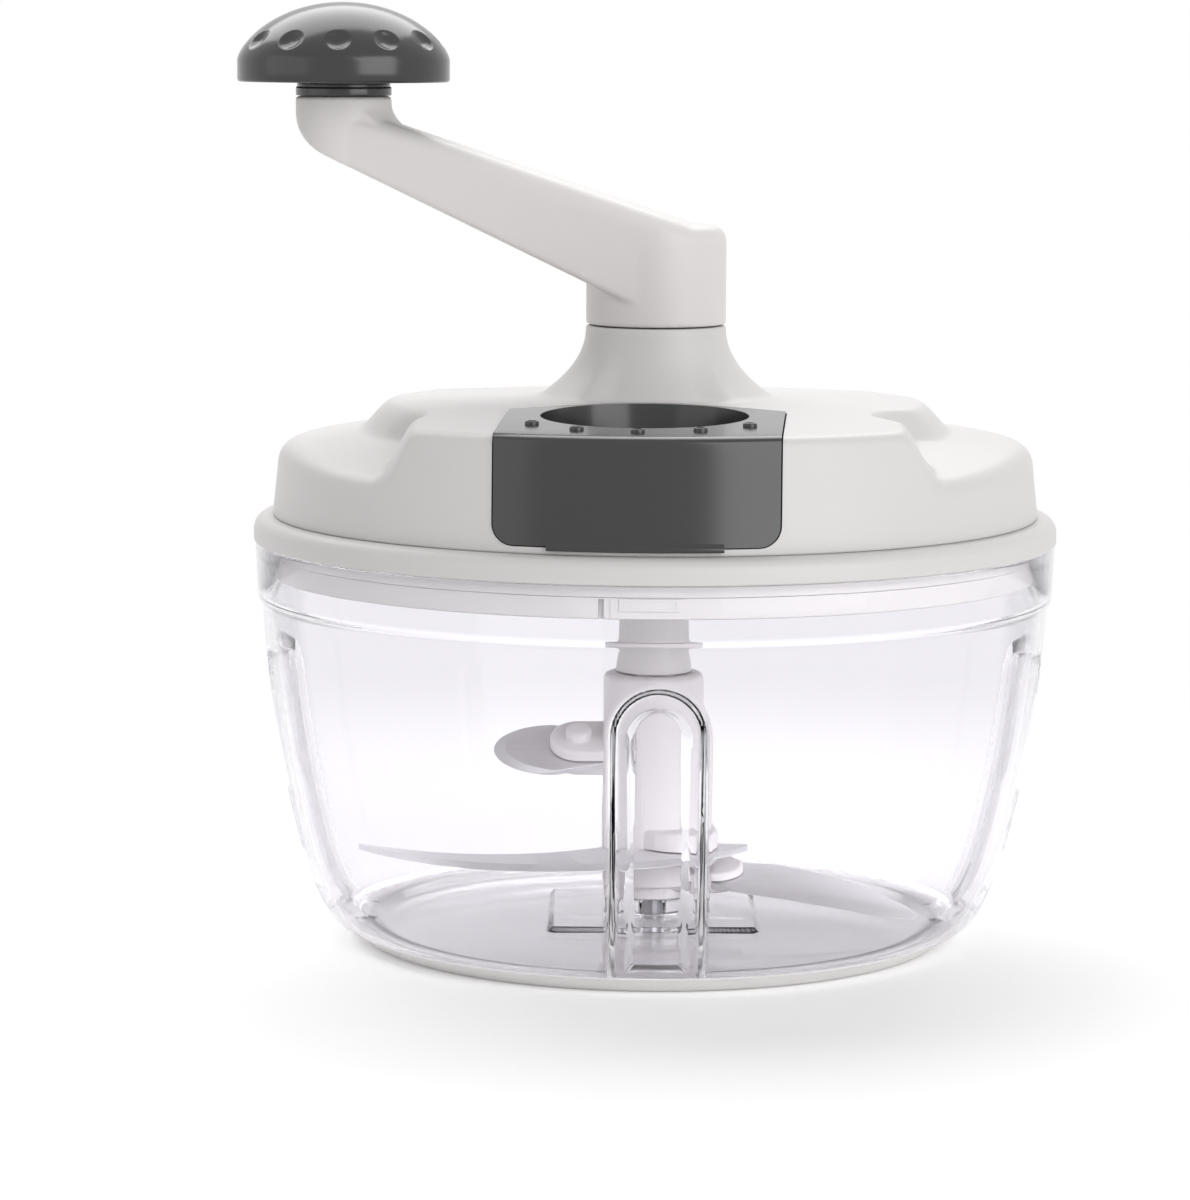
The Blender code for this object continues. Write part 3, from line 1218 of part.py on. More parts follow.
def make_blade_column():
    """Blade column: socket for the drive plug, three lobes for the blades, bore for the pin."""
    foot_top = column_bottom + COLUMN_FOOT
    outline = [(0, column_bottom), (COLUMN_FOOT_RADIUS, column_bottom)]
    outline += [(COLUMN_FOOT_RADIUS, foot_top), (COLUMN_RADIUS, foot_top)]
    outline += arc((COLUMN_RADIUS - COLUMN_ROUNDING, column_top - COLUMN_ROUNDING),
                   COLUMN_ROUNDING, 0, 90, ROUNDING_STEPS)
    outline += [(0, column_top)]
    column = turned('blade_column', outline, SMALL_SIDES)
    upper_lobe = lobe(UPPER_LOBE_REACH, UPPER_LOBE_WIDTH, UPPER_LOBE_HEIGHT)
    rivet = disc('rivet', UPPER_RIVET_RADIUS, 0, UPPER_LOBE_HEIGHT / 2 + UPPER_RIVET_RISE)
    rivet_spot = (UPPER_LOBE_REACH - UPPER_LOBE_WIDTH / 2, 0, 0)
    join(upper_lobe, placed(rivet, Matrix.Translation(rivet_spot)))
    join(column, pitched(upper_lobe, UPPER_BLADE_TURN, -UPPER_BLADE_PITCH, UPPER_BLADE_HEIGHT))
    middle_lobe = lobe(MIDDLE_LOBE_REACH, MIDDLE_LOBE_WIDTH, MIDDLE_LOBE_HEIGHT)
    join(column, pitched(middle_lobe, MIDDLE_LOBE_TURN, 0, MIDDLE_BLADE_HEIGHT + BLADE_THICKNESS))
    lower_lobe = lobe(LOWER_LOBE_REACH, LOWER_LOBE_WIDTH, LOWER_LOBE_HEIGHT)
    join(column, pitched(lower_lobe, LOWER_BLADE_TURN, LOWER_BLADE_PITCH, LOWER_BLADE_HEIGHT))
    cut(column, upper_blade('slot', GAP), middle_blade('slot', GAP), lower_blade('slot', GAP))
    cut(column, disc('plug_socket', PLUG_RADIUS + GAP, plug_bottom, column_top + OVERRUN, HEX_SIDES))
    bore_top = pin_boss_top + PIN_RISE + GAP
    bush_seat_radius = PIN_RADIUS + FIT + COLUMN_BUSH_WALL + FIT
    bush_seat_top = column_bottom + COLUMN_BUSH_LENGTH + GAP
    cut(column, disc('pin_bore', PIN_RADIUS + GAP, column_bottom - OVERRUN, bore_top))
    cut(column, disc('bush_seat', bush_seat_radius, column_bottom - OVERRUN, bush_seat_top))
    return shell_plastic(column)


def make_column_bush():
    """Bush in the column's foot, running on the bowl's pin."""
    return gear_plastic(tube('column_bush', PIN_RADIUS + FIT, PIN_RADIUS + FIT + COLUMN_BUSH_WALL,
                             column_bottom, column_bottom + COLUMN_BUSH_LENGTH))


def insert_front(name, top, depth):
    """The insert's front face pushed back through the lid, with its lower corners rounded."""
    face = rounded_rectangle(insert_half_width, insert_bottom, top, INSERT_CORNER)
    return placed(prism(name, face, 0, depth), Matrix.Rotation(radians(90), 4, 'X'))


def make_feed_insert():
    """Dark drop-in insert: curved front panel, top plate and a cup with a slotted floor."""
    above = plateau_height + OVERRUN
    insert = plateau_body('feed_insert', proud=INSERT_PROUD, bottom=lid_seam_height - OVERRUN)
    plan = prism('plan', insert_plan(), lid_seam_height - 2 * OVERRUN, above)
    front = insert_front('front', above, lid_radius + 2 * OVERRUN)
    common(insert, turned_with_insert(plan), turned_with_insert(front))
    hollow = plateau_body('hollow', proud=-INSERT_SHELL, bottom=lid_seam_height - 2 * OVERRUN)
    inner_plan = prism('inner_plan', insert_plan(-INSERT_SHELL), lid_seam_height - 3 * OVERRUN, above)
    common(hollow, turned_with_insert(inner_plan))
    cut(insert, hollow)

    cup_top = plateau_height + INSERT_PROUD
    cup_floor = cup_top - CUP_DEPTH
    inside_floor = cup_floor + CUP_WALL
    joint_height = cup_top - INSERT_SHELL / 2
    outer_top = cup_radius + CUP_WALL
    outline = [(0, cup_floor), (outer_top - CUP_TAPER, cup_floor), (outer_top, joint_height)]
    outline += [(0, joint_height)]
    join(insert, on_cup_axis(turned('cup', outline, MIDDLE_SIDES)))
    outline = [(0, inside_floor), (cup_floor_radius, inside_floor), (cup_radius, cup_top)]
    outline += [(cup_radius, cup_top + OVERRUN), (0, cup_top + OVERRUN)]
    cut(insert, on_cup_axis(turned('inside', outline, MIDDLE_SIDES)))
    slot_low = (cup_floor_radius * SLOT_INNER_SHARE, -SLOT_WIDTH / 2, cup_floor - OVERRUN)
    slot_high = (cup_floor_radius * SLOT_OUTER_SHARE, SLOT_WIDTH / 2, inside_floor + OVERRUN / 2)
    for index in range(SLOT_COUNT):
        turn = 2 * pi * index / SLOT_COUNT
        slot = placed(box('slot', slot_low, slot_high), Matrix.Rotation(turn, 4, 'Z'))
        cut(insert, on_cup_axis(slot))

    lip_bottom = insert_bottom - FINGER_LIP_DROP
    lip_top = insert_bottom + FINGER_LIP_RISE
    lip_inner = lid_radius - INSERT_SHELL / 2
    lip_outer = lid_radius + GAP + FINGER_LIP_PROUD
    outline = [(lid_radius + GAP, lip_bottom), (lip_outer, lip_bottom), (lip_outer, insert_bottom)]
    outline += [(lid_radius, lip_top), (lip_inner, lip_top), (lip_inner, insert_bottom)]
    outline += [(lid_radius + GAP, insert_bottom)]
    ledge = turned('lip', outline, BIG_SIDES)
    half_lip = FINGER_LIP_WIDTH / 2
    common(ledge, box('lip_width', (-half_lip, -lid_radius - 2 * OVERRUN, lid_seam_height),
                      (half_lip, 0, plateau_height)))
    join(insert, turned_with_insert(ledge))
    for index in range(DRIP_HOLE_COUNT):
        angle = DRIP_HOLE_STEP * (index - (DRIP_HOLE_COUNT - 1) / 2) - pi / 2
        hole = disc('drip', DRIP_HOLE_RADIUS, cup_top - 2 * INSERT_SHELL, cup_top + OVERRUN,
                    TINY_SIDES)
        spot = Vector((drip_circle_radius * cos(angle), drip_circle_radius * sin(angle), 0))
        cut(insert, on_cup_axis(placed(hole, Matrix.Translation(spot))))
    return dark_plastic(insert)


def main():
    for existing in list(bpy.data.objects):
        bpy.data.objects.remove(existing)
    make_base_pad()
    make_bowl()
    make_pivot_pin()
    make_lid_base()
    make_lid_cover()
    make_lid_seal()
    make_lid_screws()
    make_neck_bush()
    make_drive_bush()
    make_ring_gear()
    for index in range(PLANET_COUNT):
        make_planet_gear(index)
    make_sun_gear()
    make_planet_carrier()
    make_planet_axles()
    make_crank_screw()
    make_drive_hub()
    make_sun_screw()
    make_crank_arm()
    make_knob_stud()
    make_knob()
    make_knob_collar()
    make_blade_column()
    make_column_bush()
    steel(upper_blade('blade_upper'))
    steel(middle_blade('blade_middle'))
    steel(lower_blade('blade_lower'))
    make_feed_insert()


main()
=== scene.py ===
# %% [markdown]
# # A hand-cranked food chopper, dressed for its portrait
# The chopper comes from the CAD model as separate pieces that already stand in the right place.
# This lesson looks after what the eye sees: the camera, the light, the finishes, and finer copies
# of the pieces whose facets would show. Each cell does one small thing and prints what it made.

from math import atan2, cos, degrees, hypot, pi, radians, sin, sqrt

import bmesh
import bpy
import numpy as np
from mathutils import Matrix, Vector


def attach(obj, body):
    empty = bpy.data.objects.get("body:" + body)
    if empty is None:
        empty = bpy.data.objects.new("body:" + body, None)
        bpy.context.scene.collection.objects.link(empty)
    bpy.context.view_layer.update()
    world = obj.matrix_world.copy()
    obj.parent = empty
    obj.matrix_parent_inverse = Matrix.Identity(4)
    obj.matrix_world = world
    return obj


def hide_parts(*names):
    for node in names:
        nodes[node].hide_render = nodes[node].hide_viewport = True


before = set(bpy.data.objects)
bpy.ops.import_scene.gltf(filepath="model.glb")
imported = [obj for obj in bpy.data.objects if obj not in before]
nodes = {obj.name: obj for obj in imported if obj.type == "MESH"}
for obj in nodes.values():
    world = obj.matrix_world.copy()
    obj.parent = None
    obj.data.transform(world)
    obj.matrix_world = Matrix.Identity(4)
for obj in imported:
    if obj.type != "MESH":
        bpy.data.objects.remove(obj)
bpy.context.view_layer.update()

# %% [markdown]
# ## Camera
# The photograph looks down a little from the front, from about a metre away. A long lens keeps
# the rings of the bowl and the lid as flat ellipses. The angles and the focal length were solved
# from those rings, so that the model and the photograph can be laid over each other.

# %% Camera
SENSOR, FOCAL_PIXELS, FRAME_PIXELS = 36, 4453.6, 1200
camera = bpy.data.objects.new("camera", bpy.data.cameras.new("camera"))
bpy.context.scene.collection.objects.link(camera)
camera.location = (-0.0134, -1.0, 0.2054)
look_down, roll = radians(7.36), radians(0.27)
camera.rotation_euler = (Matrix.Rotation(radians(90) - look_down, 3, "X")
                         @ Matrix.Rotation(roll, 3, "Z")).to_euler()
camera.data.sensor_fit = "VERTICAL"
camera.data.sensor_height = SENSOR
camera.data.lens = FOCAL_PIXELS / FRAME_PIXELS * SENSOR
bpy.context.scene.camera = camera
print("lens in mm:", round(camera.data.lens, 1))

# %% [markdown]
# ## Helpers for node trees
# The world and the materials are built from nodes. These helpers set a node's values, add a node,
# lead wires between nodes, and tell which kind of ray is on its way.

# %% Helpers for node trees
def settle(made, **values):
    """Set the named inputs and plain properties of a node; _ stands for a space in an input's name."""
    for key, value in values.items():
        label = key.replace("_", " ")
        if label in made.inputs:
            made.inputs[label].default_value = value
        else:
            setattr(made, key, value)
    return made


def node(tree, kind, **values):
    """Add a node to a tree and settle its values."""
    return settle(tree.nodes.new(kind), **values)


def wire(tree, *wires):
    """Lead wires through a tree, each from a node's output to another node's input."""
    for source, output, target, entry in wires:
        tree.links.new(source.outputs[output], target.inputs[entry])


def rays(tree, *kinds):
    """A node and its output that is 1 for rays of the named kinds and 0 for all others."""
    path = node(tree, "ShaderNodeLightPath")
    value = (path, kinds[0])
    for kind in kinds[1:]:
        either = node(tree, "ShaderNodeMath", operation="MAXIMUM")
        wire(tree, (*value, either, 0), (path, kind, either, 1))
        value = (either, 0)
    return value


print("helpers for nodes made")

# %% [markdown]
# ## Background and light
# The photograph is cut out on white. The world is white at a strength of 1 for every ray that the
# eye can follow: straight, mirrored or through the clear bowl. For the rays that only light the
# object it is dimmer, so that the lamps can shape the form. Light Path tells the rays apart.

# %% World
scene = bpy.context.scene
scene.view_settings.view_transform = "Standard"
WORLD_FILL = 0.36
world = bpy.data.worlds.new("white_studio")
scene.world = world
world.use_nodes = True
tree = world.node_tree
backdrop = tree.nodes["Background"]
backdrop.inputs["Color"].default_value = (1, 1, 1, 1)
level = node(tree, "ShaderNodeMapRange", To_Min=WORLD_FILL)
wire(tree, (*rays(tree, "Is Camera Ray", "Is Glossy Ray", "Is Transmission Ray"), level, "Value"),
     (level, "Result", backdrop, "Strength"))
print("fill from the world:", WORLD_FILL)

# %% [markdown]
# ## Lamps
# The reflections in the dark, glossy pieces tell where the studio's soft boxes stood. A tall one in
# front to the right makes the bright band on the knob, and the right side of the lid the brighter
# one. A weaker one stands far to the left. A broad one hangs above and behind: it lights the tops,
# and it is what the dome of the knob and the front edge of the insert mirror.

# %% Lamps
AIM_HEIGHT = 0.10


def soft_box(name, place, width, height, power):
    """A wide area lamp aimed at the middle of the chopper."""
    lamp = bpy.data.objects.new(name, bpy.data.lights.new(name, "AREA"))
    scene.collection.objects.link(lamp)
    lamp.data.shape = "RECTANGLE"
    lamp.data.size, lamp.data.size_y = width, height
    lamp.data.energy = power
    lamp.location = place
    lamp.visible_camera = False
    aim = Vector((0, 0, AIM_HEIGHT)) - Vector(place)
    lamp.rotation_euler = aim.to_track_quat("-Z", "Y").to_euler()
    print(name, "at", place, "power", power)


soft_box("key_right", (0.77, -0.98, 0.50), 1.05, 1.2, 9.8)
soft_box("fill_left", (-1.10, -0.58, 0.40), 1.2, 1.0, 1.95)
soft_box("above_behind", (-0.15, 0.65, 1.05), 1.4, 1.0, 12.0)

# %% [markdown]
# ## Floor
# A wide white plane takes the shadow. Near the chopper it is a plain matt white that is lit by the
# lamps. Further out they hardly reach it, so there it fades into the same white as the world, but
# only for rays that the eye can follow. That way no line shows at the horizon.

# %% Floor
FLOOR_HALF, FLOOR_GLOW, FADE_FROM, FADE_TO = 6.0, 0.22, 0.16, 0.42
corners = [(x * FLOOR_HALF, y * FLOOR_HALF, 0) for x, y in ((-1, -1), (1, -1), (1, 1), (-1, 1))]
floor_mesh = bpy.data.meshes.new("floor")
floor_mesh.from_pydata(corners, [], [(0, 1, 2, 3)])
floor = bpy.data.objects.new("floor", floor_mesh)
scene.collection.objects.link(floor)
floor_paint = bpy.data.materials.new("white_floor")
floor_paint.use_nodes = True
floor_mesh.materials.append(floor_paint)
tree = floor_paint.node_tree
plain = settle(tree.nodes["Principled BSDF"], Base_Color=(0.92, 0.92, 0.92, 1), Roughness=0.9,
               Specular_IOR_Level=0.0, Emission_Color=(1, 1, 1, 1))
glow = node(tree, "ShaderNodeMath", operation="MULTIPLY")
glow.inputs[1].default_value = FLOOR_GLOW
place = node(tree, "ShaderNodeTexCoord")
reach = node(tree, "ShaderNodeVectorMath", operation="LENGTH")
fade = node(tree, "ShaderNodeMapRange", interpolation_type="SMOOTHSTEP", From_Min=FADE_FROM,
            From_Max=FADE_TO)
share = node(tree, "ShaderNodeMath", operation="MULTIPLY")
white = node(tree, "ShaderNodeEmission")
blend = node(tree, "ShaderNodeMixShader")
wire(tree, (*rays(tree, "Is Camera Ray", "Is Transmission Ray"), glow, 0),
     (glow, 0, plain, "Emission Strength"), (place, "Object", reach, 0),
     (reach, "Value", fade, "Value"), (fade, "Result", share, 0),
     (*rays(tree, "Is Camera Ray", "Is Transmission Ray", "Is Glossy Ray"), share, 1),
     (share, 0, blend, "Fac"), (plain, "BSDF", blend, 1), (white, "Emission", blend, 2),
     (blend, "Shader", tree.nodes["Material Output"], "Surface"))
print("floor is", 2 * FLOOR_HALF, "m wide")

# %% [markdown]
# ## Node groups shared by the finishes
# Moulded plastic is never one flat colour. Its surface has a faint orange-peel waviness from the
# mould, and the gloss drifts a little from place to place. One group makes all three from noise in
# object space, so that it sits still on the piece, and each material gives it its own values.

# %% Helper for node groups
def socket_kind(label):
    """A socket named Colour holds a colour, and every other one a number."""
    return "NodeSocketColor" if label == "Colour" else "NodeSocketFloat"


def new_group(name, inputs, outputs):
    """A shader node group with named sockets; returns its tree, its input node and its output node."""
    tree = bpy.data.node_groups.new(name, "ShaderNodeTree")
    for label, value in inputs.items():
        socket = tree.interface.new_socket(name=label, in_out="INPUT", socket_type=socket_kind(label))
        socket.default_value = value
    for label in outputs:
        tree.interface.new_socket(name=label, in_out="OUTPUT", socket_type=socket_kind(label))
    return tree, tree.nodes.new("NodeGroupInput"), tree.nodes.new("NodeGroupOutput")


print("helper for groups made")

# %% Moulded surface group
mould, given, result = new_group(
    "moulded_surface", {"Colour": (0.6, 0.6, 0.6, 1), "Drift": 0.03, "Roughness": 0.3, "Spread": 0.05,
                        "Peel Scale": 900.0}, ("Colour", "Roughness", "Height"))
place = node(mould, "ShaderNodeTexCoord")
broad = node(mould, "ShaderNodeTexNoise", Scale=28.0, Detail=3.0)
peel = node(mould, "ShaderNodeTexNoise", Detail=2.0)
centred = node(mould, "ShaderNodeMath", operation="SUBTRACT")
centred.inputs[1].default_value = 0.5
shade = node(mould, "ShaderNodeMath", operation="MULTIPLY_ADD")
shade.inputs[2].default_value = 1.0
tinted = node(mould, "ShaderNodeVectorMath", operation="SCALE")
gloss = node(mould, "ShaderNodeMath", operation="MULTIPLY_ADD")
wire(mould, (place, "Object", broad, "Vector"), (place, "Object", peel, "Vector"),
     (given, "Peel Scale", peel, "Scale"), (broad, "Fac", centred, 0), (centred, 0, shade, 0),
     (given, "Drift", shade, 1), (given, "Colour", tinted, 0), (shade, 0, tinted, "Scale"),
     (centred, 0, gloss, 0), (given, "Spread", gloss, 1), (given, "Roughness", gloss, 2),
     (tinted, 0, result, "Colour"), (gloss, 0, result, "Roughness"),
     (peel, "Fac", result, "Height"))
print("group:", mould.name)

# %% [markdown]
# Steel blades are ground and then polished. Fine parallel lines stay in them, and these stretch
# the highlights. The lines are noise squeezed hard along one axis, with a few deeper scratches.

# %% Ground steel group
ground, given, result = new_group(
    "ground_steel", {"Colour": (0.6, 0.6, 0.6, 1), "Roughness": 0.2, "Spread": 0.12,
                     "Line Scale": 40.0}, ("Colour", "Roughness", "Height"))
place = node(ground, "ShaderNodeTexCoord")
squeeze = node(ground, "ShaderNodeMapping", Scale=(1.0, 45.0, 45.0))
lines = node(ground, "ShaderNodeTexNoise", Detail=4.0)
gloss = node(ground, "ShaderNodeMath", operation="MULTIPLY_ADD")
shade = node(ground, "ShaderNodeMapRange", To_Min=0.92, To_Max=1.05)
tinted = node(ground, "ShaderNodeVectorMath", operation="SCALE")
wire(ground, (place, "Object", squeeze, "Vector"), (squeeze, "Vector", lines, "Vector"),
     (given, "Line Scale", lines, "Scale"), (lines, "Fac", gloss, 0), (given, "Spread", gloss, 1),
     (given, "Roughness", gloss, 2), (lines, "Fac", shade, "Value"), (given, "Colour", tinted, 0),
     (shade, "Result", tinted, "Scale"), (tinted, 0, result, "Colour"),
     (gloss, 0, result, "Roughness"), (lines, "Fac", result, "Height"))
print("group:", ground.name)

# %% [markdown]
# ## Finishes
# Each finish places one of the groups in a material of its own and adds a bump from the group's
# height. Numbers that are the same all over, such as the index, sit on the shader itself.

# %% Materials from the groups
BUMP_HEIGHT = 0.0002


def finish(name, group, colour, bump, metallic=0.0, ior=1.46, **values):
    """A material whose colour, roughness and bump come from a node group."""
    material = bpy.data.materials.new(name)
    material.use_nodes = True
    tree = material.node_tree
    shader = settle(tree.nodes["Principled BSDF"], Metallic=metallic, IOR=ior)
    placed = settle(node(tree, "ShaderNodeGroup", node_tree=group), Colour=(*colour, 1), **values)
    relief = node(tree, "ShaderNodeBump", Strength=bump, Distance=BUMP_HEIGHT)
    wire(tree, (placed, "Colour", shader, "Base Color"), (placed, "Roughness", shader, "Roughness"),
         (placed, "Height", relief, "Height"), (relief, "Normal", shader, "Normal"))
    return material


# Name, colour, bump, index, roughness, drift of the colour, spread of the gloss, scale of the peel.
moulded = [
    ("lid_pale_grey", (0.680, 0.665, 0.660), 0.05, 1.46, 0.43, 0.03, 0.06, 700.0),
    ("crank_pale_grey", (0.735, 0.710, 0.700), 0.05, 1.46, 0.42, 0.03, 0.06, 800.0),
    ("column_pale_grey", (0.76, 0.735, 0.745), 0.05, 1.46, 0.40, 0.04, 0.05, 900.0),
    ("charcoal_gloss", (0.026, 0.026, 0.028), 0.03, 1.54, 0.19, 0.10, 0.06, 700.0),
    ("gear_white", (0.78, 0.77, 0.73), 0.06, 1.46, 0.42, 0.05, 0.08, 1200.0),
    ("seal_pale_grey", (0.69, 0.675, 0.67), 0.04, 1.46, 0.50, 0.03, 0.06, 1500.0),
    ("soft_pale", (0.96, 0.935, 0.93), 0.10, 1.46, 0.62, 0.05, 0.10, 1500.0)]
lid_plastic, crank_plastic, column_plastic, charcoal, gear_white, seal_grey, soft_pale = [
    finish(name, mould, colour, bump, ior=ior, Roughness=rough, Drift=drift, Spread=spread,
           Peel_Scale=scale)
    for name, colour, bump, ior, rough, drift, spread, scale in moulded]
blade_steel = finish("blade_steel", ground, (0.83, 0.82, 0.84), 0.03, metallic=1.0, Roughness=0.50,
                     Spread=0.14, Line_Scale=40.0)
screw_steel = finish("screw_steel", ground, (0.55, 0.55, 0.56), 0.05, metallic=1.0, Roughness=0.28,
                     Spread=0.18, Line_Scale=90.0)
print("finishes:", len(bpy.data.materials))

# %% [markdown]
# ## Clear plastic
# The bowl is clear with a faint cool tint. Rays bend at each wall, so the wall has a real
# thickness. A thin moulding in a bright studio shows only fine, pale lines, so the index is set
# lower than the plastic's own 1.49, and where a wall is seen edge on, part of the light goes
# straight through. For shadow rays the material turns transparent, otherwise the bowl would throw
# the dark shadow of a solid pot. Hairline scratches from washing show as a haze.

# %% Haze group and clear material
haze, given, result = new_group("washing_haze", {"Level": 0.02, "Streaks": 0.03},
                                ("Roughness", "Height"))
place = node(haze, "ShaderNodeTexCoord")
streak = node(haze, "ShaderNodeTexNoise", Scale=60.0, Detail=5.0, Distortion=1.5)
sharp = node(haze, "ShaderNodeMapRange", From_Min=0.55, From_Max=0.75)
gloss = node(haze, "ShaderNodeMath", operation="MULTIPLY_ADD")
wire(haze, (place, "Object", streak, "Vector"), (streak, "Fac", sharp, "Value"),
     (sharp, "Result", gloss, 0), (given, "Streaks", gloss, 1), (given, "Level", gloss, 2),
     (gloss, 0, result, "Roughness"), (streak, "Fac", result, "Height"))

clear_plastic = bpy.data.materials.new("clear_bowl")
clear_plastic.use_nodes = True
tree = clear_plastic.node_tree
shader = settle(tree.nodes["Principled BSDF"], Base_Color=(0.930, 0.922, 0.947, 1),
                Transmission_Weight=1.0, IOR=1.20, Specular_IOR_Level=0.8)
placed = settle(node(tree, "ShaderNodeGroup", node_tree=haze), Level=0.0, Streaks=0.03)
shadow_clear = node(tree, "ShaderNodeBsdfTransparent", Color=(0.995, 0.995, 0.995, 1))
see_through = node(tree, "ShaderNodeBsdfTransparent", Color=(0.966, 0.962, 0.973, 1))
facing = node(tree, "ShaderNodeLayerWeight", Blend=0.5)
edge_on = node(tree, "ShaderNodeMapRange", From_Min=0.60, From_Max=0.95, To_Max=0.75)
walls, blend = node(tree, "ShaderNodeMixShader"), node(tree, "ShaderNodeMixShader")
wire(tree, (placed, "Roughness", shader, "Roughness"), (facing, "Facing", edge_on, "Value"),
     (edge_on, "Result", walls, "Fac"), (shader, "BSDF", walls, 1), (see_through, "BSDF", walls, 2),
     (*rays(tree, "Is Shadow Ray"), blend, "Fac"), (walls, "Shader", blend, 1),
     (shadow_clear, "BSDF", blend, 2), (blend, "Shader", tree.nodes["Material Output"], "Surface"))
print("clear plastic made")

# %% [markdown]
# ## Dressing the pieces that stay
# A CAD piece whose shape is right keeps its mesh and only gets a finish. The table below is grouped
# by finish; a piece that is replaced further down takes its finish there.

# %% Finishes on the CAD pieces
dressed = {
    lid_plastic: ["lid_cover", "lid_base"],
    crank_plastic: ["crank_arm"],
    column_plastic: ["blade_column", "drive_hub"],
    charcoal: ["knob", "knob_collar", "feed_insert"],
    gear_white: ["ring_gear", "planet_gear_1", "planet_gear_2", "planet_gear_3", "sun_gear",
                 "planet_carrier", "neck_bush", "drive_bush", "column_bush"],
    soft_pale: ["non_slip_pad"],
    seal_grey: ["lid_seal"],
    blade_steel: ["blade_upper", "blade_middle", "blade_lower"],
    screw_steel: ["pivot_pin", "knob_stud", "crank_screw", "sun_screw", "planet_axle_1",
                  "planet_axle_2", "planet_axle_3", "lid_screw_1", "lid_screw_2", "lid_screw_3",
                  "lid_screw_4"],
    clear_plastic: ["bowl"],
}
for material, names in dressed.items():
    for name in names:
        nodes[name].data.materials.clear()
        nodes[name].data.materials.append(material)
print("dressed:", sum(len(names) for names in dressed.values()), "of", len(nodes))

# %% [markdown]
# ## Skinning a stack of rings
# Most of the large pieces are round. Each is skinned over a stack of closed rings of points. Because
# every point can be moved before the skin is made, a mould's soft bumps and hollows go in as well,
# which a plain lathe can't do.

# %% Ring skin helpers
MM = 0.001


def show(piece, body, stands_for, material, sharp=40):
    """Shade a new piece, give it its finish and let it ride on its CAD body."""
    piece.data.shade_smooth()
    piece.data.set_sharp_from_angle(angle=radians(sharp))
    piece.data.materials.clear()
    piece.data.materials.append(material)
    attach(piece, body)
    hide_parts(*stands_for)
    print(piece.name, "faces:", len(piece.data.polygons))
    return piece


def piece_from(name, work):
    """Make a piece of the scene from a bmesh, with every face looking outward."""
    bmesh.ops.recalc_face_normals(work, faces=work.faces)
    mesh = bpy.data.meshes.new(name)
    work.to_mesh(mesh)
    work.free()
    piece = bpy.data.objects.new(name, mesh)
    scene.collection.objects.link(piece)
    return piece


def ring_skin(name, rings, loop=False):
    """A closed skin over rings (rows, columns, 3); the last meets the first, or both get a hub."""
    rows, columns = rings.shape[:2]
    points = rings.reshape(-1, 3)
    index = np.arange(rows * columns).reshape(rows, columns)
    above = np.roll(index, -1, axis=0) if loop else index[1:]
    index = index if loop else index[:-1]
    quads = np.stack([index, np.roll(index, -1, axis=1), np.roll(above, -1, axis=1), above], axis=-1)
    caps = []
    if not loop:
        points = np.concatenate([points, rings[[0, -1]].mean(axis=1)])
        for ring, hub in ((index[0], rows * columns), (above[-1], rows * columns + 1)):
            caps += [(int(a), int(b), hub) for a, b in zip(ring, np.roll(ring, -1))]
    mesh = bpy.data.meshes.new("rings")
    mesh.from_pydata(points.tolist(), [], quads.reshape(-1, 4).tolist() + caps)
    mesh.validate()
    work = bmesh.new()
    work.from_mesh(mesh)
    bpy.data.meshes.remove(mesh)
    return piece_from(name, work)


def turned(rows, around):
    """Rings of points from rows of (radius, height); each is one number or one for every angle."""
    return np.stack([np.stack([r * np.cos(around), r * np.sin(around), z + 0 * around], axis=-1)
                     for r, z in rows])


def soft_step(value):
    """An S curve that is 0 below 0 and 1 above 1."""
    value = np.clip(value, 0, 1)
    return value * value * (3 - 2 * value)


def bent(start, corner, end, t):
    """The value at share t of a curve that leaves start towards corner and arrives at end."""
    return (1 - t) ** 2 * start + 2 * t * (1 - t) * corner + t * t * end


print("ring skin helpers made")

# %% [markdown]
# ## Bowl
# The bowl is one moulding of even wall: a thin upright band at the rim, a small step, a flank that
# swells from a round foot, and a flat floor. Four upright arches are pressed inward, which stop the
# food from spinning round. Each arch is a broad soft bump on the inside and a narrower pocket on the
# outside. The floor carries a square plinth and a round boss for the steel pin. Columns of points
# lie closer together where an arch is, so that its edges stay soft and clean in refraction.

# %% Bowl sizes
WALL, STEP, FLANK_TOP = 2.3 * MM, 76.7 * MM, 88.3 * MM
FLANK_FOOT, FOOT_Z = 70.6 * MM, 4.1 * MM
FLOOR_Z, UNDER_Z, CORNER_RISE = 4.5 * MM, 1.7 * MM, 0.9 * MM
ARCH_HALF, ARCH_BAND, ARCH_PUSH, ARCH_TOP = 9.7 * MM, 3.8 * MM, 4.0 * MM, 67.9 * MM
OUTER_SOFTNESS, INNER_SOFTNESS = 1.2 * MM, 2.6 * MM
PLINTH_HALF, PLINTH_RISE = 23.0 * MM, 1.0 * MM
BORE_R, BORE_FLOOR = 2.7 * MM, 2.9 * MM
LOOK_AHEAD, MOST_WALL = 0.3, 1.6


def flank(height):
    """Radius of the flank at a height: round at the foot, nearly upright at the top."""
    share = np.clip((height - FOOT_Z) / (STEP - FOOT_Z), 0, 1)
    return FLANK_FOOT + (FLANK_TOP - FLANK_FOOT) * (1 - (1 - share) ** 1.39) ** 0.55


print("flank radius in mm at 5, 20 and 60 mm:",
      [round(float(flank(z * MM)) / MM, 1) for z in (5, 20, 60)])

# %% Columns of the bowl, closer together at the arches
near_arch = np.radians(np.linspace(-9.0, 9.0, 52))
between = np.radians(np.linspace(9.0, 81.0, 46))[1:-1]
quarter = np.concatenate([near_arch, between])
angles = np.concatenate([quarter + radians(90 * k) for k in range(4)])
print("columns:", len(angles))


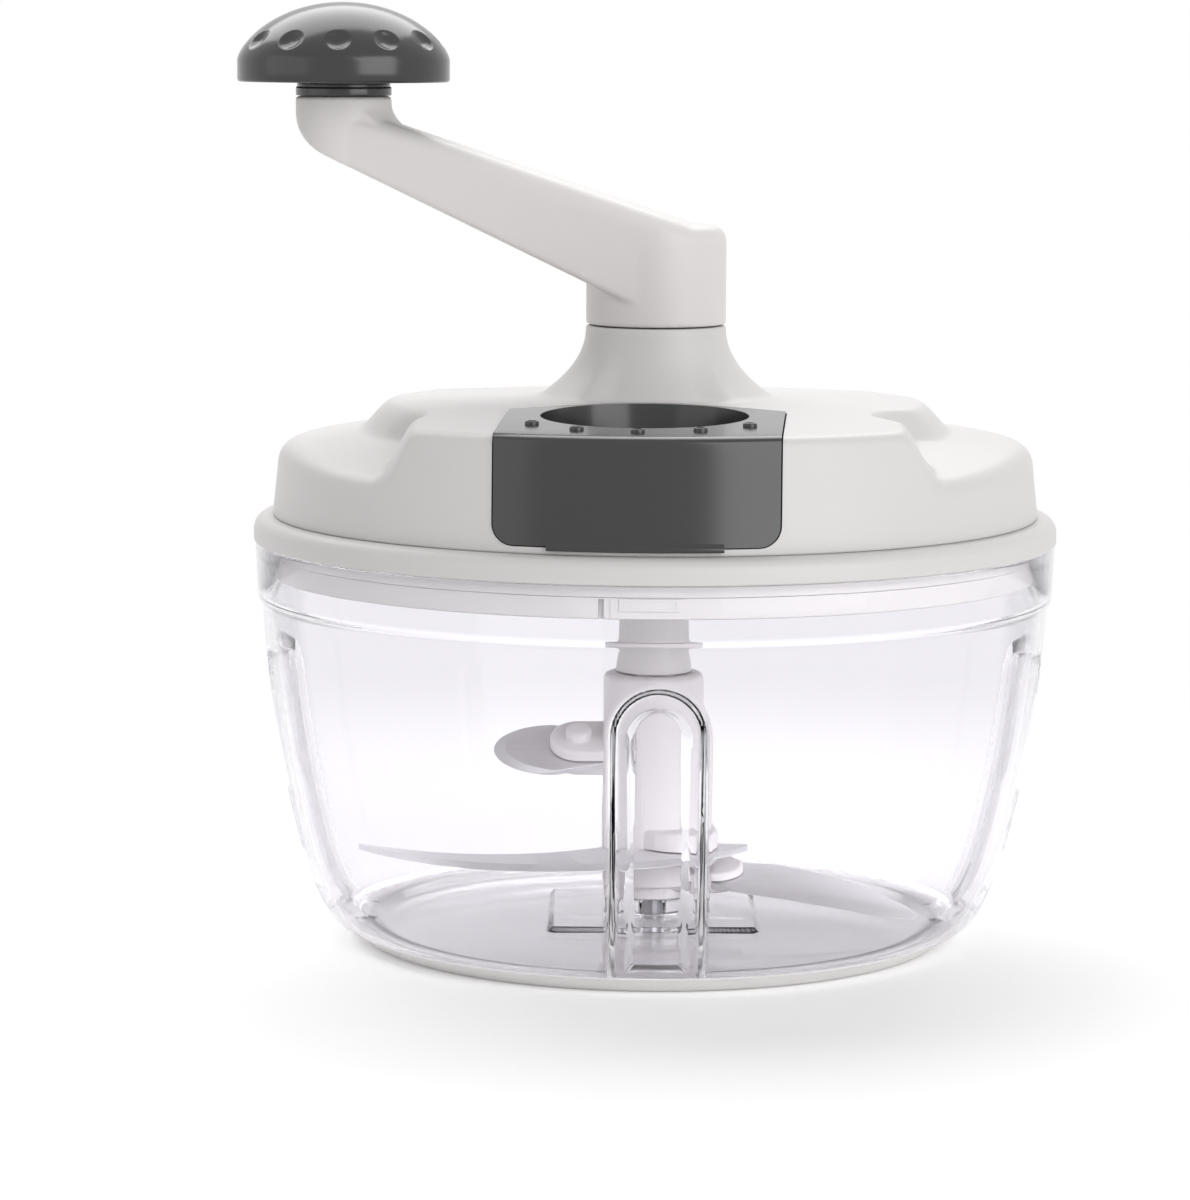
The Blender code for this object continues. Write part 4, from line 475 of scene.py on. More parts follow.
# %% Rows of the bowl, from the middle underneath to the middle of the floor
def arch_mask(lateral, height, half_width, top, foot, softness):
    """1 inside an upright arch and 0 outside, with a soft edge."""
    crown = top - half_width
    edge = np.where(height > crown, np.hypot(lateral, height - crown), np.abs(lateral)) - half_width
    edge = np.maximum(edge, foot - height)
    return soft_step(0.5 - edge / softness)


def pressed(radius, height, half_width, top, foot, softness):
    """One ring of flank radii with the arches pressed inward."""
    around = np.mod(angles + pi / 4, pi / 2) - pi / 4
    mask = arch_mask(radius * np.sin(around), height, half_width, top, foot, softness)
    return radius - ARCH_PUSH * mask


flank_rows = np.concatenate([np.linspace(0, 0.42, 22)[:-1] ** 1.6,
                             np.linspace(0.42 ** 1.6, 0.70, 16)[:-1],
                             np.linspace(0.70, 0.90, 26)[:-1], np.linspace(0.90, 1.0, 6)])
rows = [(8 * MM, UNDER_Z), (40 * MM, UNDER_Z), (61.0 * MM, UNDER_Z), (63.2 * MM, UNDER_Z + 0.1 * MM),
        (65.4 * MM, UNDER_Z + 1.0 * MM), (67.6 * MM, UNDER_Z + 2.1 * MM),
        (69.0 * MM, FOOT_Z - 0.15 * MM)]
for share in flank_rows:
    z = FOOT_Z + (STEP - FOOT_Z) * share
    rows.append((pressed(flank(z), z, ARCH_HALF - ARCH_BAND, ARCH_TOP - ARCH_BAND, FLOOR_Z + 2 * MM,
                         OUTER_SOFTNESS), z))
outside_rows = len(rows)
rows += [(r * MM, z * MM) for r, z in (
    (88.45, 76.95), (88.9, 77.35), (89.25, 77.75), (89.4, 78.2), (89.55, 80.5), (89.95, 89.8),
    (89.8, 90.25), (89.4, 90.4), (88.3, 90.4), (87.85, 90.2), (87.7, 89.8), (87.7, 79.6),
    (87.5, 78.8), (86.8, 77.9), (86.2, 77.3))]
# The inner flank lies one wall's thickness inside the outer one, measured square to its slope.
for share in flank_rows[::-1]:
    z = FLOOR_Z + CORNER_RISE + (STEP - FLOOR_Z - CORNER_RISE) * share
    lean = (flank(z + LOOK_AHEAD * MM) - flank(z)) / LOOK_AHEAD
    r = flank(z) - WALL * min(sqrt(1 + (lean / MM) ** 2), MOST_WALL)
    rows.append((pressed(r, z, ARCH_HALF, ARCH_TOP, 0, INNER_SOFTNESS), z))
print("rows so far:", len(rows), "of which outside:", outside_rows)

# %% Floor rows with the plinth and the boss
corner_r = rows[-1][0]
rows += [(corner_r - share * 1.6 * MM, FLOOR_Z + CORNER_RISE * (1 - share) ** 2)
         for share in (0.55, 0.85)]
floor_radii = np.concatenate([[63.0, 56.0, 48.0, 40.0], np.linspace(34.0, 22.0, 26),
                              [18.0, 13.0, 9.5]])
for radius in floor_radii * MM:
    flat_r = np.minimum(radius, corner_r - 1.9 * MM)
    square = np.maximum(np.abs(flat_r * np.cos(angles)), np.abs(flat_r * np.sin(angles)))
    rise = PLINTH_RISE * soft_step((PLINTH_HALF - square) / (0.9 * MM) + 0.5)
    rows.append((flat_r, FLOOR_Z + rise))
top_z = FLOOR_Z + PLINTH_RISE
rows += [(r * MM, top_z + z * MM) for r, z in (
    (8.3, 0.0), (7.7, 0.2), (7.5, 0.7), (7.4, 2.4), (7.2, 2.85), (6.8, 3.0), (2.9, 3.0), (2.7, 2.8))]
rows.append((BORE_R, BORE_FLOOR))
bowl = ring_skin("bowl_clear", turned(rows, angles))
show(bowl, "bowl", ["bowl"], clear_plastic, sharp=60)

# %% [markdown]
# ## Tools for the other pieces
# A Boolean takes one solid from another, as a slide in a mould leaves a hole. The Manifold solver
# is quick and exact on closed meshes. Outlines are written in millimetres with a rounding for each
# corner, because a real moulding has no corner without a small radius, and that is what glints.

# %% Rounded outlines, lathe, blocks and Booleans
def rounded(corners, steps=4):
    """Outline points in metres from corners (across, up, rounding) in millimetres."""
    points = []
    for index, (x, z, rounding) in enumerate(corners):
        here = np.array((x, z))
        before, after = (np.array(corners[k][:2]) for k in (index - 1, (index + 1) % len(corners)))
        start = here + (before - here) * min(0.5, rounding / np.linalg.norm(before - here))
        end = here + (after - here) * min(0.5, rounding / np.linalg.norm(after - here))
        for t in np.linspace(0, 1, steps + 1) if rounding else (0,):
            points.append(bent(start, here, end, t) * MM)
    return points


def lathe(name, corners, sides=128, centre=(0, 0), steps=4):
    """Turn a profile about an upright axis; it is a solid if the profile starts on the axis."""
    solid = corners[0][0] == 0
    points = rounded(corners, steps)
    points = points[1:-1] if solid else points
    around = np.radians(np.arange(sides) * 360 / sides)
    rings = turned(points, around) + np.array((*centre, 0)) * MM
    return ring_skin(name, rings, loop=not solid)


def pin(name, radius, low, high, **options):
    """A plain upright cylinder in millimetres, which mostly cuts a hole."""
    return lathe(name, [(0, low, 0), (radius, low, 0), (radius, high, 0), (0, high, 0)], **options)


def stacked(*loops):
    """A bmesh with a floor, a roof and side walls through loops of points in millimetres."""
    work = bmesh.new()
    rings = [[work.verts.new(point * MM) for point in loop] for loop in loops]
    work.faces.new(rings[0])
    work.faces.new(rings[-1])
    for low, high in zip(rings, rings[1:]):
        for index in range(len(low)):
            beside = (index + 1) % len(low)
            work.faces.new((low[index], low[beside], high[beside], high[index]))
    return work


def at_level(outline, z):
    """A loop of (x, y, z) points from an outline and one height, or one for each point."""
    return np.column_stack([outline, np.zeros(len(outline)) + np.ravel(z)])


def extrude(name, outline, bottom, top):
    """Raise a closed outline of (x, y) points in millimetres into an upright solid."""
    return piece_from(name, stacked(at_level(outline, bottom), at_level(outline, top)))


def inward_of(outline):
    """Unit vectors that point to the inside of an anticlockwise outline."""
    along = np.roll(outline, -1, axis=0) - np.roll(outline, 1, axis=0)
    return np.stack([-along[:, 1], along[:, 0]], axis=1) / np.hypot(*along.T)[:, None]


def soft_block(name, outline, bottom, top, rounding, steps=4):
    """A convex block with rounded upper and lower edges, in millimetres."""
    flat = np.array(outline, dtype=float)
    inward = inward_of(flat)
    rings = []
    for start, end, level, way in ((0, pi / 2, bottom, 1), (pi / 2, 0, top, -1)):
        for t in np.linspace(start, end, steps + 1):
            edge = flat + inward * rounding * (1 - sin(t))
            rings.append(at_level(edge, level + way * rounding * (1 - cos(t))))
    return ring_skin(name, np.stack(rings) * MM)


def arc(centre, radius, start, end, steps):
    """Points (x, y) along an arc, from one angle in degrees to another."""
    return [(centre[0] + radius * cos(a), centre[1] + radius * sin(a))
            for a in np.radians(np.linspace(start, end, steps + 1))]


def bake(piece):
    """Work a piece's modifiers into its mesh."""
    bpy.context.view_layer.update()
    changed = piece.evaluated_get(bpy.context.evaluated_depsgraph_get())
    mesh = bpy.data.meshes.new_from_object(changed)
    piece.modifiers.clear()
    piece.data = mesh


def carve(piece, tool, operation="DIFFERENCE"):
    """Run one Boolean on a piece and keep its result."""
    modifier = piece.modifiers.new(operation, "BOOLEAN")
    modifier.solver = "MANIFOLD"
    modifier.operation = operation
    modifier.object = tool
    bake(piece)
    bpy.data.objects.remove(tool)


def moved(piece, matrix):
    """Move the mesh of a piece and leave its origin where it is."""
    piece.data.transform(matrix)
    return piece


print("tools for blocks, turned pieces and cuts made")

# %% [markdown]
# ## Lid cover
# The cover is a low round dome with a raised grip from front to back. At its sides the surface
# drops to sloping shoulders, and a scoop at each front corner gives the fingers a hold. The
# moulding has no hard line, so the form is drawn as a height over the plan: a distance to the
# grip's outline says how far up the soft riser a point stands. The grip's top is a little crowned,
# and both it and the shoulders fall away towards the rim.

# %% Lid sizes
SEAM, PLATEAU, SHOULDER, CROWN = 96.3 * MM, 122.6 * MM, 113.0 * MM, 3.0 * MM
GRIP_ROUND, GRIP_SIDE = 63.0 * MM, 55.5 * MM
SCOOP_SPOTS, SCOOP_R = ((60.0 * MM, -35.0 * MM), (-64.0 * MM, -37.0 * MM)), 11.5 * MM
NECK_R, NECK_TOP, FLARE_R = 15.7 * MM, 138.6 * MM, 26.5 * MM
TOWER_R, TOWER_TOP, NECK_BORE = 19.34 * MM, 113.6 * MM, 9.9 * MM


def soft_min(a, b, width):
    """The smaller of two distances with a rounded corner between them."""
    mix = np.clip(0.5 + 0.5 * (b - a) / width, 0, 1)
    return b + (a - b) * mix - width * mix * (1 - mix)


def crowned(reach):
    """Height of the grip's top at a distance from the middle."""
    return PLATEAU - 2.0 * MM * np.clip((reach - 25 * MM) / (58 * MM), 0, 1.1) ** 1.5


def lid_top(x, y):
    """Height of the lid's upper surface above a point of its plan."""
    reach = np.hypot(x, y)
    plateau = crowned(reach) - 2.2 * MM * soft_step((y / MM - 5) / 75)
    outline = soft_min(reach - GRIP_ROUND, np.abs(x) - GRIP_SIDE, 3 * MM)
    scoop = np.minimum(*(np.hypot(x - spot[0], y - spot[1]) for spot in SCOOP_SPOTS)) - SCOOP_R
    run = (8.0 + 2.0 * soft_step((-y / MM - 60) / 15)) * MM
    rise = soft_step(0.5 + soft_min(-outline / run, scoop / (4.2 * MM), 0.75))
    fall = np.clip((reach - GRIP_ROUND) / (80 * MM - GRIP_ROUND), 0, 1.3)
    shoulder = SHOULDER + CROWN * (1 - fall) - 3.0 * MM * soft_step((-y / MM - 8) / 52)
    return shoulder + (plateau - shoulder) * np.clip(rise, 0, 1)


def wall_radius(z):
    """Radius of the lid's wall, which leans in towards the top."""
    return np.interp(z, np.array([96.3, 97.5, 105.8, 113.0, 122.6]) * MM,
                     np.array([86.0, 85.9, 85.0, 84.4, 83.6]) * MM)


print("lid heights in mm: seam", round(SEAM / MM, 1), "grip", round(PLATEAU / MM, 1))

# %% Lid cover rows
lid_angles = np.radians(np.arange(0, 360, 0.9))
cos_a, sin_a = np.cos(lid_angles), np.sin(lid_angles)
edge_z = lid_top(84.0 * MM * cos_a, 84.0 * MM * sin_a)
raised = (edge_z - SHOULDER) / (PLATEAU - SHOULDER)
blend_size = (4.2 - 1.9 * np.clip(raised, 0, 1)) * MM
corner = wall_radius(edge_z)
top_r = corner - blend_size
rows = [(TOWER_R, SEAM), (TOWER_R, TOWER_TOP), (NECK_BORE, TOWER_TOP)]
rows += [(r * MM, z * MM) for r, z in (
    (9.9, 137.2), (13.1, 137.2), (13.1, 138.5), (13.2, 138.6), (15.2, 138.6), (15.55, 138.45))]
# In front the flare stays clear of the insert's pocket.
flare = FLARE_R - 3.9 * MM * soft_step((-sin_a - 0.72) / 0.2)
for share in np.linspace(0, 1, 18) ** 0.8:
    height = NECK_TOP - 0.45 * MM - (NECK_TOP - PLATEAU - 1.0 * MM) * share
    widen = ((NECK_TOP - height) / (NECK_TOP - PLATEAU)) ** 2.2
    rows.append((NECK_R + (flare - NECK_R) * widen, height))
# The flare's foot runs out on the grip's top, and the top runs on to the corner of the wall.
foot_r, foot_z = rows[-1]
for share in (0.2, 0.45, 0.75, 1.0):
    radius = foot_r + share * 4.5 * MM
    ground_z = lid_top(radius * cos_a, radius * sin_a)
    rows.append((radius, ground_z + (foot_z - PLATEAU) * (1 - share) ** 2))
start_r = rows[-1][0]
for share in np.linspace(0, 1, 74)[1:]:
    radius = start_r + (top_r - start_r) * share
    rows.append((radius, lid_top(radius * cos_a, radius * sin_a)))
# A soft corner leads down into the wall.
last_r, last_z = rows[-1]
corner_z = lid_top(corner * cos_a, corner * sin_a)
low_z = np.maximum(corner_z - blend_size, SEAM + 2 * MM)
low_r = wall_radius(low_z)
for t in np.linspace(0, 1, 9)[1:]:
    rows.append((bent(last_r, corner, low_r, t), bent(last_z, corner_z, low_z, t)))
for t in np.linspace(0, 1, 9)[1:]:
    height = low_z + (SEAM + 0.5 * MM - low_z) * t
    rows.append((wall_radius(height), height))
rows += [(85.85 * MM, SEAM + 0.15 * MM), (85.5 * MM, SEAM)]
print("lid rows:", len(rows), "columns:", len(lid_angles))
cover = ring_skin("lid_cover_soft", turned(rows, lid_angles), loop=True)

# %% [markdown]
# The insert drops into a pocket in the lid's front. Its plan has straight sides and slanted back
# corners that run into an arc round the cup. The same plan, a little larger, cuts the pocket, and
# a larger one still leaves the pocket's walls standing inside the hollow lid.

# %% Plan of the insert and its pocket
INSERT_HALF, INSERT_BACK, CUP_Y, CUP_R, CUP_WRAP = 29.98, 36.02, -48.02, 22.48, 25.08
INSERT_LOW, INSERT_CORNER, PORT_R = 98.1, 4.3, 18.98
ROOM = 0.3
insert_turn = Matrix.Rotation(radians(-3.5), 4, "Z")


def insert_plan(grow):
    """Outline of the insert seen from above, in millimetres."""
    half = INSERT_HALF + grow
    back_rise = -CUP_Y - INSERT_BACK
    reach, lean = hypot(half, back_rise), atan2(back_rise, half)
    wrap = CUP_WRAP + grow
    start = degrees(lean + (pi / 2 - lean) * (1 - wrap / reach) + atan2(wrap, reach))
    back = arc((0, CUP_Y), wrap, start, 180 - start, 12)
    return [(-half, -95), (half, -95), (half, -INSERT_BACK), *back, (-half, -INSERT_BACK)]


def front_block(name, grow, top):
    """A block with the front panel's outline, pushed back through the lid."""
    half, low, radius = INSERT_HALF + grow, INSERT_LOW - grow, INSERT_CORNER + grow
    face = [(half, top), (-half, top)]
    face += arc((-half + radius, low + radius), radius, 180, 270, 10)
    face += arc((half - radius, low + radius), radius, 270, 360, 10)
    return moved(extrude(name, face, -2, 97), Matrix.Rotation(radians(90), 4, "X"))


def on_cup(piece):
    """Move a turned tool from the main axis to the cup's axis."""
    return moved(piece, insert_turn @ Matrix.Translation((0, CUP_Y * MM, 0)))


print("insert outline:", len(insert_plan(0)), "points")

# %% Hollow and pocket of the lid cover
hollow = lathe("hollow", [(21.14, 90, 0), (83.8, 90, 0), (83.8, 98.8, 0), (80.6, 108.4, 2),
                          (78.4, 110.6, 1), (21.14, 110.6, 0.5)], sides=200)
carve(hollow, moved(extrude("pocket_walls", insert_plan(2.1), 80, 130), insert_turn))
carve(cover, hollow)
pocket = extrude("pocket", insert_plan(ROOM), 80, 138.6)
carve(pocket, front_block("pocket_front", ROOM, 150), "INTERSECT")
carve(cover, moved(pocket, insert_turn))
carve(cover, on_cup(pin("feed_port", PORT_R, 90, 99)))
show(cover, "lid", ["lid_cover"], lid_plastic, sharp=50)

# %% [markdown]
# ## Feed insert
# The insert is one dark, glossy moulding: a panel that continues the lid's wall, a top plate, and
# a cup with a slotted floor that lets oil drip in while the blades turn. The panel and the plate
# come from the lid's own profile, made 0.4 mm larger, so that the insert stands just proud of it.

# %% Feed insert
PROUD, THICK, CUP_FLOOR = 0.4, 2.0, 101.5
SLOTS, DRIPS, DRIP_REACH, DRIP_STEP = 6, 5, 28.18, 27.4


def lid_profile(grow, bottom):
    """Profile of the lid's wall and flat top in millimetres, made larger all round."""
    heights = (bottom, 97.5, 101.0, 105.8, 110.0, 114.0, 118.0)
    wall = [(wall_radius(z * MM) / MM + grow, z, 0) for z in heights]
    top = [(r, crowned(r * MM) / MM + grow, 0) for r in range(78, 22, -4)]
    return [(0, bottom, 0), *wall, (83.7 + grow, 120.5 + grow, 2.4), *top, (0, 122.6 + grow, 0)]


insert = lathe("feed_insert_gloss", lid_profile(PROUD, 94.3), sides=400, steps=8)
carve(insert, extrude("plan", insert_plan(0), 90, 130), "INTERSECT")
carve(insert, front_block("front", 0, 140), "INTERSECT")
inside = lathe("inside", lid_profile(-THICK, 92), sides=200, steps=6)
carve(inside, extrude("inner_plan", insert_plan(-THICK), 80, 135), "INTERSECT")
carve(insert, inside)
moved(insert, insert_turn)
cup = lathe("cup", [(0, CUP_FLOOR, 0), (22.08, CUP_FLOOR, 1.2), (24.08, 120.6, 0), (0, 120.6, 0)])
carve(insert, on_cup(cup), "UNION")
cup_room = lathe("cup_room", [(0, 103.1, 0), (20.48, 103.1, 1.0), (CUP_R + 0.3, 126, 0), (0, 126, 0)],
                 sides=160)
carve(insert, on_cup(cup_room))
slot_plan = arc((14.4, 0), 1.8, -90, 90, 8) + arc((7.5, 0), 1.8, 90, 270, 8)
for index in range(SLOTS):
    slot = soft_block("slot", slot_plan, CUP_FLOOR - 2, 104, 0.01, steps=1)
    carve(insert, on_cup(moved(slot, Matrix.Rotation(2 * pi * index / SLOTS, 4, "Z"))))
# Each drip hole has a small raised rim and goes right through it.
for index in range(DRIPS):
    turn = radians(DRIP_STEP * (index - DRIPS // 2) - 90)
    spot = (DRIP_REACH * cos(turn), DRIP_REACH * sin(turn))
    plate = crowned(hypot(spot[0], spot[1] + CUP_Y) * MM) / MM + PROUD
    rim = lathe("drip_rim", [(0, plate - 1, 0), (1.55, plate - 1, 0), (1.5, plate + 0.75, 0.4),
                             (0, plate + 0.75, 0)], sides=24, centre=spot)
    carve(insert, on_cup(rim), "UNION")
    carve(insert, on_cup(pin("drip_hole", 1.0, 115, 125, sides=24, centre=spot)))
print("insert cut, faces:", len(insert.data.polygons))

# %% Finger lip under the insert's panel
lip_turns = np.radians(np.linspace(-90 - 12.28, -90 + 12.28, 40))
lip_profile = np.array(rounded([(86.3, 97.2, 0.15), (87.1, 97.2, 0.25), (87.1, 98.1, 0.3),
                                (86.2, 99.0, 0), (85.0, 99.0, 0), (85.0, 98.1, 0), (86.3, 98.1, 0)], 3))
lip = ring_skin("lip", np.stack([
    np.stack([lip_profile[:, 0] * cos(a), lip_profile[:, 0] * sin(a), lip_profile[:, 1]], axis=-1)
    for a in lip_turns]))
carve(insert, moved(lip, insert_turn), "UNION")
show(insert, "insert", ["feed_insert"], charcoal, sharp=40)

# %% [markdown]
# ## Lid base
# The base carries the flange that rests on the bowl's rim, and the skirt that slips inside it. A
# small latch bump and a notch sit at the skirt's front, where they show through the clear rim.

# %% Lid base
def on_skirt(inner, outer, start, end):
    """Outline of a plate that follows the skirt between two angles."""
    return arc((0, 0), outer, start, end, 16) + arc((0, 0), inner, end, start, 16)


base = lathe("lid_base_soft", [
    (8.8, 84.6, 0.2), (10.8, 84.6, 0.6), (10.8, 92.6, 0), (84.7, 92.6, 0.8), (84.7, 83.3, 0.4),
    (87.1, 83.3, 0.5), (87.1, 87.8, 0), (85.4, 87.8, 0), (85.4, 90.4, 0), (87.1, 90.4, 0),
    (87.1, 90.7, 0), (90.3, 90.7, 0.35), (90.3, 93.2, 0), (90.0, 94.6, 0.5), (89.2, 95.6, 0.5),
    (88.0, 96.26, 0.6), (83.5, 96.26, 0), (83.2, 98.2, 0.3), (81.4, 98.2, 0.3), (81.4, 94.8, 0.5),
    (19.04, 94.8, 0.5), (19.04, 99.8, 0.3), (8.8, 99.8, 0.3)], sides=256, steps=5)
# Only the walls inside the rim make room for the insert, so the flange stays whole.
pocket_room = extrude("pocket_room", insert_plan(2.4), 95.7, 130)
carve(pocket_room, pin("inside_rim", 83.5, 90, 135, sides=200), "INTERSECT")
carve(base, moved(pocket_room, insert_turn))
carve(base, on_cup(pin("port", PORT_R, 80, 97)))
for index in range(4):
    turn = radians(45 + 90 * index)
    spot = (74 * cos(turn), 74 * sin(turn))
    carve(base, pin("screw_hole", 1.7, 80, 97, sides=16, centre=spot))
notch = extrude("notch", [(-0.6, -90), (0.6, -90), (0.6, -85.9), (-0.6, -85.9)], 81, 87.5)
carve(base, moved(notch, Matrix.Rotation(radians(-8), 4, "Z")))
plate = extrude("plate", on_skirt(86.5, 87.3, -96.7, -86.6), 83.6, 87.7)
latch = soft_block("latch", on_skirt(86.5, 87.58, -95.5, -87.2), 85.05, 87.7, 0.12)
carve(latch, extrude("window", on_skirt(87.38, 88.5, -94.9, -87.8), 85.6, 87.2))
carve(base, plate, "UNION")
carve(base, latch, "UNION")
show(base, "lid", ["lid_base"], lid_plastic, sharp=40)
seal = lathe("lid_seal_soft", [(85.6, 87.86, 0.1), (87.3, 87.86, 0.3), (87.3, 90.34, 0.3),
                               (85.6, 90.34, 0.1)], sides=256)
show(seal, "lid", ["lid_seal"], seal_grey, sharp=60)

# %% [markdown]
# ## Crank arm
# The crank arm is one moulding: a hub on the neck, an arm that rises and narrows, and a short
# round boss under the knob. The arm is a stack of rounded cross sections. A voxel remesh melts the
# three forms into one skin, and a light smoothing leaves the small hollow radii that a mould has.

# %% Crank arm
REACH, BOSS_R, HUB_R, CREST = 70.0, 10.7, 15.7, 8.1
# Heights of the arm's upper and lower line, each at the boss and at the hub.
TOP_LINE, UNDER_LINE = (187.3, 163.9), (174.65, 141.2)
at_boss = Matrix.Translation((-REACH * MM, 0, 0))


def arm_line(x, boss_z, hub_z):
    """Height of one of the arm's slanted lines above a point of its length."""
    return hub_z - (boss_z - hub_z) * x / REACH


def arm_ring(x, top, bottom):
    """Cross section of the arm: wide soft shoulders above, a tight rounding below."""
    half = BOSS_R + (HUB_R - BOSS_R) * (1 + x / REACH) - 0.2
    if x > 0:
        half = sqrt(HUB_R ** 2 - x ** 2) - 0.2
    right = arc((half - 1.2, bottom + 1.2), 1.2, 270, 360, 5)
    right += arc((half - 4.4, top - 4.4), 4.4, 0, 90, 12)
    left = [(-y, z) for y, z in reversed(right)]
    return np.array([(x, y, z) for y, z in right + left]) * MM


beam = ring_skin("beam", np.stack([
    arm_ring(x, min(arm_line(x, *TOP_LINE), 188.9), arm_line(min(x, -1.0), *UNDER_LINE))
    for x in np.linspace(-REACH, CREST, 60)]))
arm = lathe("crank_arm_soft", [(0, 138.9, 0), (HUB_R, 138.9, 0.5), (HUB_R, 161.2, 4.2),
                               (0, 161.2, 0)], steps=8)
boss = lathe("boss", [(0, 173.5, 0), (BOSS_R, 173.5, 1.5), (BOSS_R, 189.4, 0.4),
                      (0, 189.4, 0)], steps=6)
moved(boss, at_boss)
# A hollow ring round the boss, as wide as the arm, makes the fillet between them.
bend = [(bent(17.0, 11.2, 10.4, t), bent(181.4, 182.6, 188.4, t), 0) for t in np.linspace(0, 1, 12)]
fillet = moved(lathe("fillet", [(0, 176, 0), (17.0, 176, 0), *bend, (0, 188.4, 0)]), at_boss)
arm_width = [(-REACH, -9.6), (-50, -10.6), (-50, 10.6), (-REACH, 9.6)]
carve(fillet, extrude("arm_width", arm_width, 170, 195), "INTERSECT")
# The arm's underside cuts the boss aslant and turns up its outer side with a soft corner.
turn_up = [(bent(-73.5, -80.6, -80.8, t), bent(arm_line(-73.5, *UNDER_LINE), 179.6, 186.5, t))
           for t in np.linspace(0, 1, 14)]
slope = extrude("slope", [(-95, 160), (-50, 160), (-50, arm_line(-50, *UNDER_LINE)), *turn_up,
                          (-95, 186.5)], -20, 20)
carve(boss, moved(slope, Matrix.Rotation(radians(90), 4, "X")))
for part in (beam, boss, fillet):
    carve(arm, part, "UNION")
melt = arm.modifiers.new("melt", "REMESH")
melt.mode = "VOXEL"
melt.voxel_size = 0.42 * MM
soften = arm.modifiers.new("soften", "SMOOTH")
soften.factor = 0.5
soften.iterations = 9
bake(arm)
carve(arm, pin("shaft_socket", 7.3, 130, 154.5, sides=48))
carve(arm, moved(pin("stud_seat", 4.2, 180.2, 195, sides=32), at_boss))
show(arm, "crank", ["crank_arm"], crank_plastic, sharp=60)

# %% [markdown]
# ## Knob
# The knob is a dark dome that the palm covers while it spins on its stud. Twelve shallow round
# dimples near its top give the fingers grip. Each is the bite of a ball, so a point inside a ball
# is pushed in along the dome's own normal until it lies on the ball's far side.

# %% Knob
KNOB_R, KNOB_H, KNOB_SKIRT, KNOB_Z = 23.7, 17.7, 4.8, 192.5
DIMPLE_R, DIMPLE_DEPTH, DIMPLE_AT = 5.2, 1.1, 0.36


def dome(share):
    """Radius and height of the dome at a share of its rise."""
    return np.array((KNOB_R * (1 - share ** 1.5) ** 0.49, KNOB_SKIRT + (KNOB_H - KNOB_SKIRT) * share))


def dome_normal(share):
    """Unit vector that points out of the dome."""
    slope = dome(min(share + 0.002, 0.9999)) - dome(max(share - 0.002, 0))
    return np.array((slope[1], -slope[0])) / np.hypot(*slope)


knob_angles = np.radians(np.arange(0, 360, 1.0))
ball = dome(DIMPLE_AT) + dome_normal(DIMPLE_AT) * (DIMPLE_R - DIMPLE_DEPTH)
near = np.mod(knob_angles + pi / 12, pi / 6) - pi / 12
knob_rings = [(3.8, 9.3), (3.8, 0.0), (7.8, 0.0), (7.8, KNOB_SKIRT), (18.5, KNOB_SKIRT), (20.6, 0.3),
              (21.1, 0.0), (23.0, 0.0), (23.5, 0.15), (KNOB_R, 0.6), (KNOB_R, 2.5)]
for share in np.concatenate([np.linspace(0, 0.9, 52), 1 - 0.1 * np.linspace(0.9, 0.02, 14) ** 2]):
    spot, out = dome(share), dome_normal(share)
    gap_x = spot[0] * np.cos(near) - ball[0]
    gap_y = spot[0] * np.sin(near)
    gap_z = spot[1] - ball[1]
    ahead = (gap_x * np.cos(near) + gap_y * np.sin(near)) * out[0] + gap_z * out[1]
    inside_ball = DIMPLE_R ** 2 - gap_x ** 2 - gap_y ** 2 - gap_z ** 2
    push = np.where(inside_ball > 0, ahead + np.sqrt(np.maximum(ahead ** 2 + inside_ball, 0)), 0)
    push = push ** 2 / (push + 0.12)
    knob_rings.append((spot[0] - push * out[0], spot[1] - push * out[1]))
knob = ring_skin("knob_dimpled", turned(knob_rings, knob_angles) * MM)
moved(knob, Matrix.Translation((-REACH * MM, 0, KNOB_Z * MM)))
show(knob, "knob", ["knob"], charcoal, sharp=50)
collar = lathe("knob_collar_soft", [(3.8, 189.5, 0.1), (10.7, 189.5, 0.3), (10.7, 191.3, 0.3),
                                    (10.4, 191.5, 0), (10.4, 192.35, 0.1), (3.8, 192.35, 0.1)])
show(moved(collar, at_boss), "knob", ["knob_collar"], charcoal)

# %% [markdown]
# ## Drive hub and blade column
# Under the lid a waisted tube carries the drive down. Its six-sided plug sits in the top of the
# blade column. The column is a pale moulding with three lobes, and each lobe clamps one blade.

# %% Drive hub
waist = [(8.6 - 0.8 * sin(pi * share), 60.3 + 24.0 * share, 0) for share in np.linspace(0.06, 0.94, 20)]
hub = lathe("drive_hub_soft", [(0, 60.3, 0), (8.6, 60.3, 0.3), *waist, (8.6, 84.3, 0.3), (6.5, 84.3, 0),
                               (6.5, 100.1, 0.2), (0, 100.1, 0)], sides=96)
for plug_r, low, high in ((8.0, 48.3, 61.0), (3.4, 99.5, 107.4)):
    carve(hub, extrude("plug", arc((0, 0), plug_r, 0, 300, 5), low, high), "UNION")
carve(hub, pin("screw_hole", 1.4, 98.1, 110, sides=16))
show(hub, "drive", ["drive_hub"], lid_plastic)

# %% Blade outlines, in millimetres
BLADE, COLUMN_R = 1.2, 11.35


def leaf(reach, width, belly, slant):
    """A leaf-shaped blade along X as rows of x, y and the width of its ground slant."""
    half = width / 2
    centre = COLUMN_R + (reach - COLUMN_R) * belly
    tip = [(centre + (reach - centre) * cos(a), half * sin(a),
            slant * max(0.02, cos(a / 2 + pi / 4) ** 0.7)) for a in np.linspace(-pi / 2, pi / 2, 49)]
    return np.array([(COLUMN_R, -0.7 * half, slant * 0.4), *tip, (COLUMN_R, 0.7 * half, 0.02)])


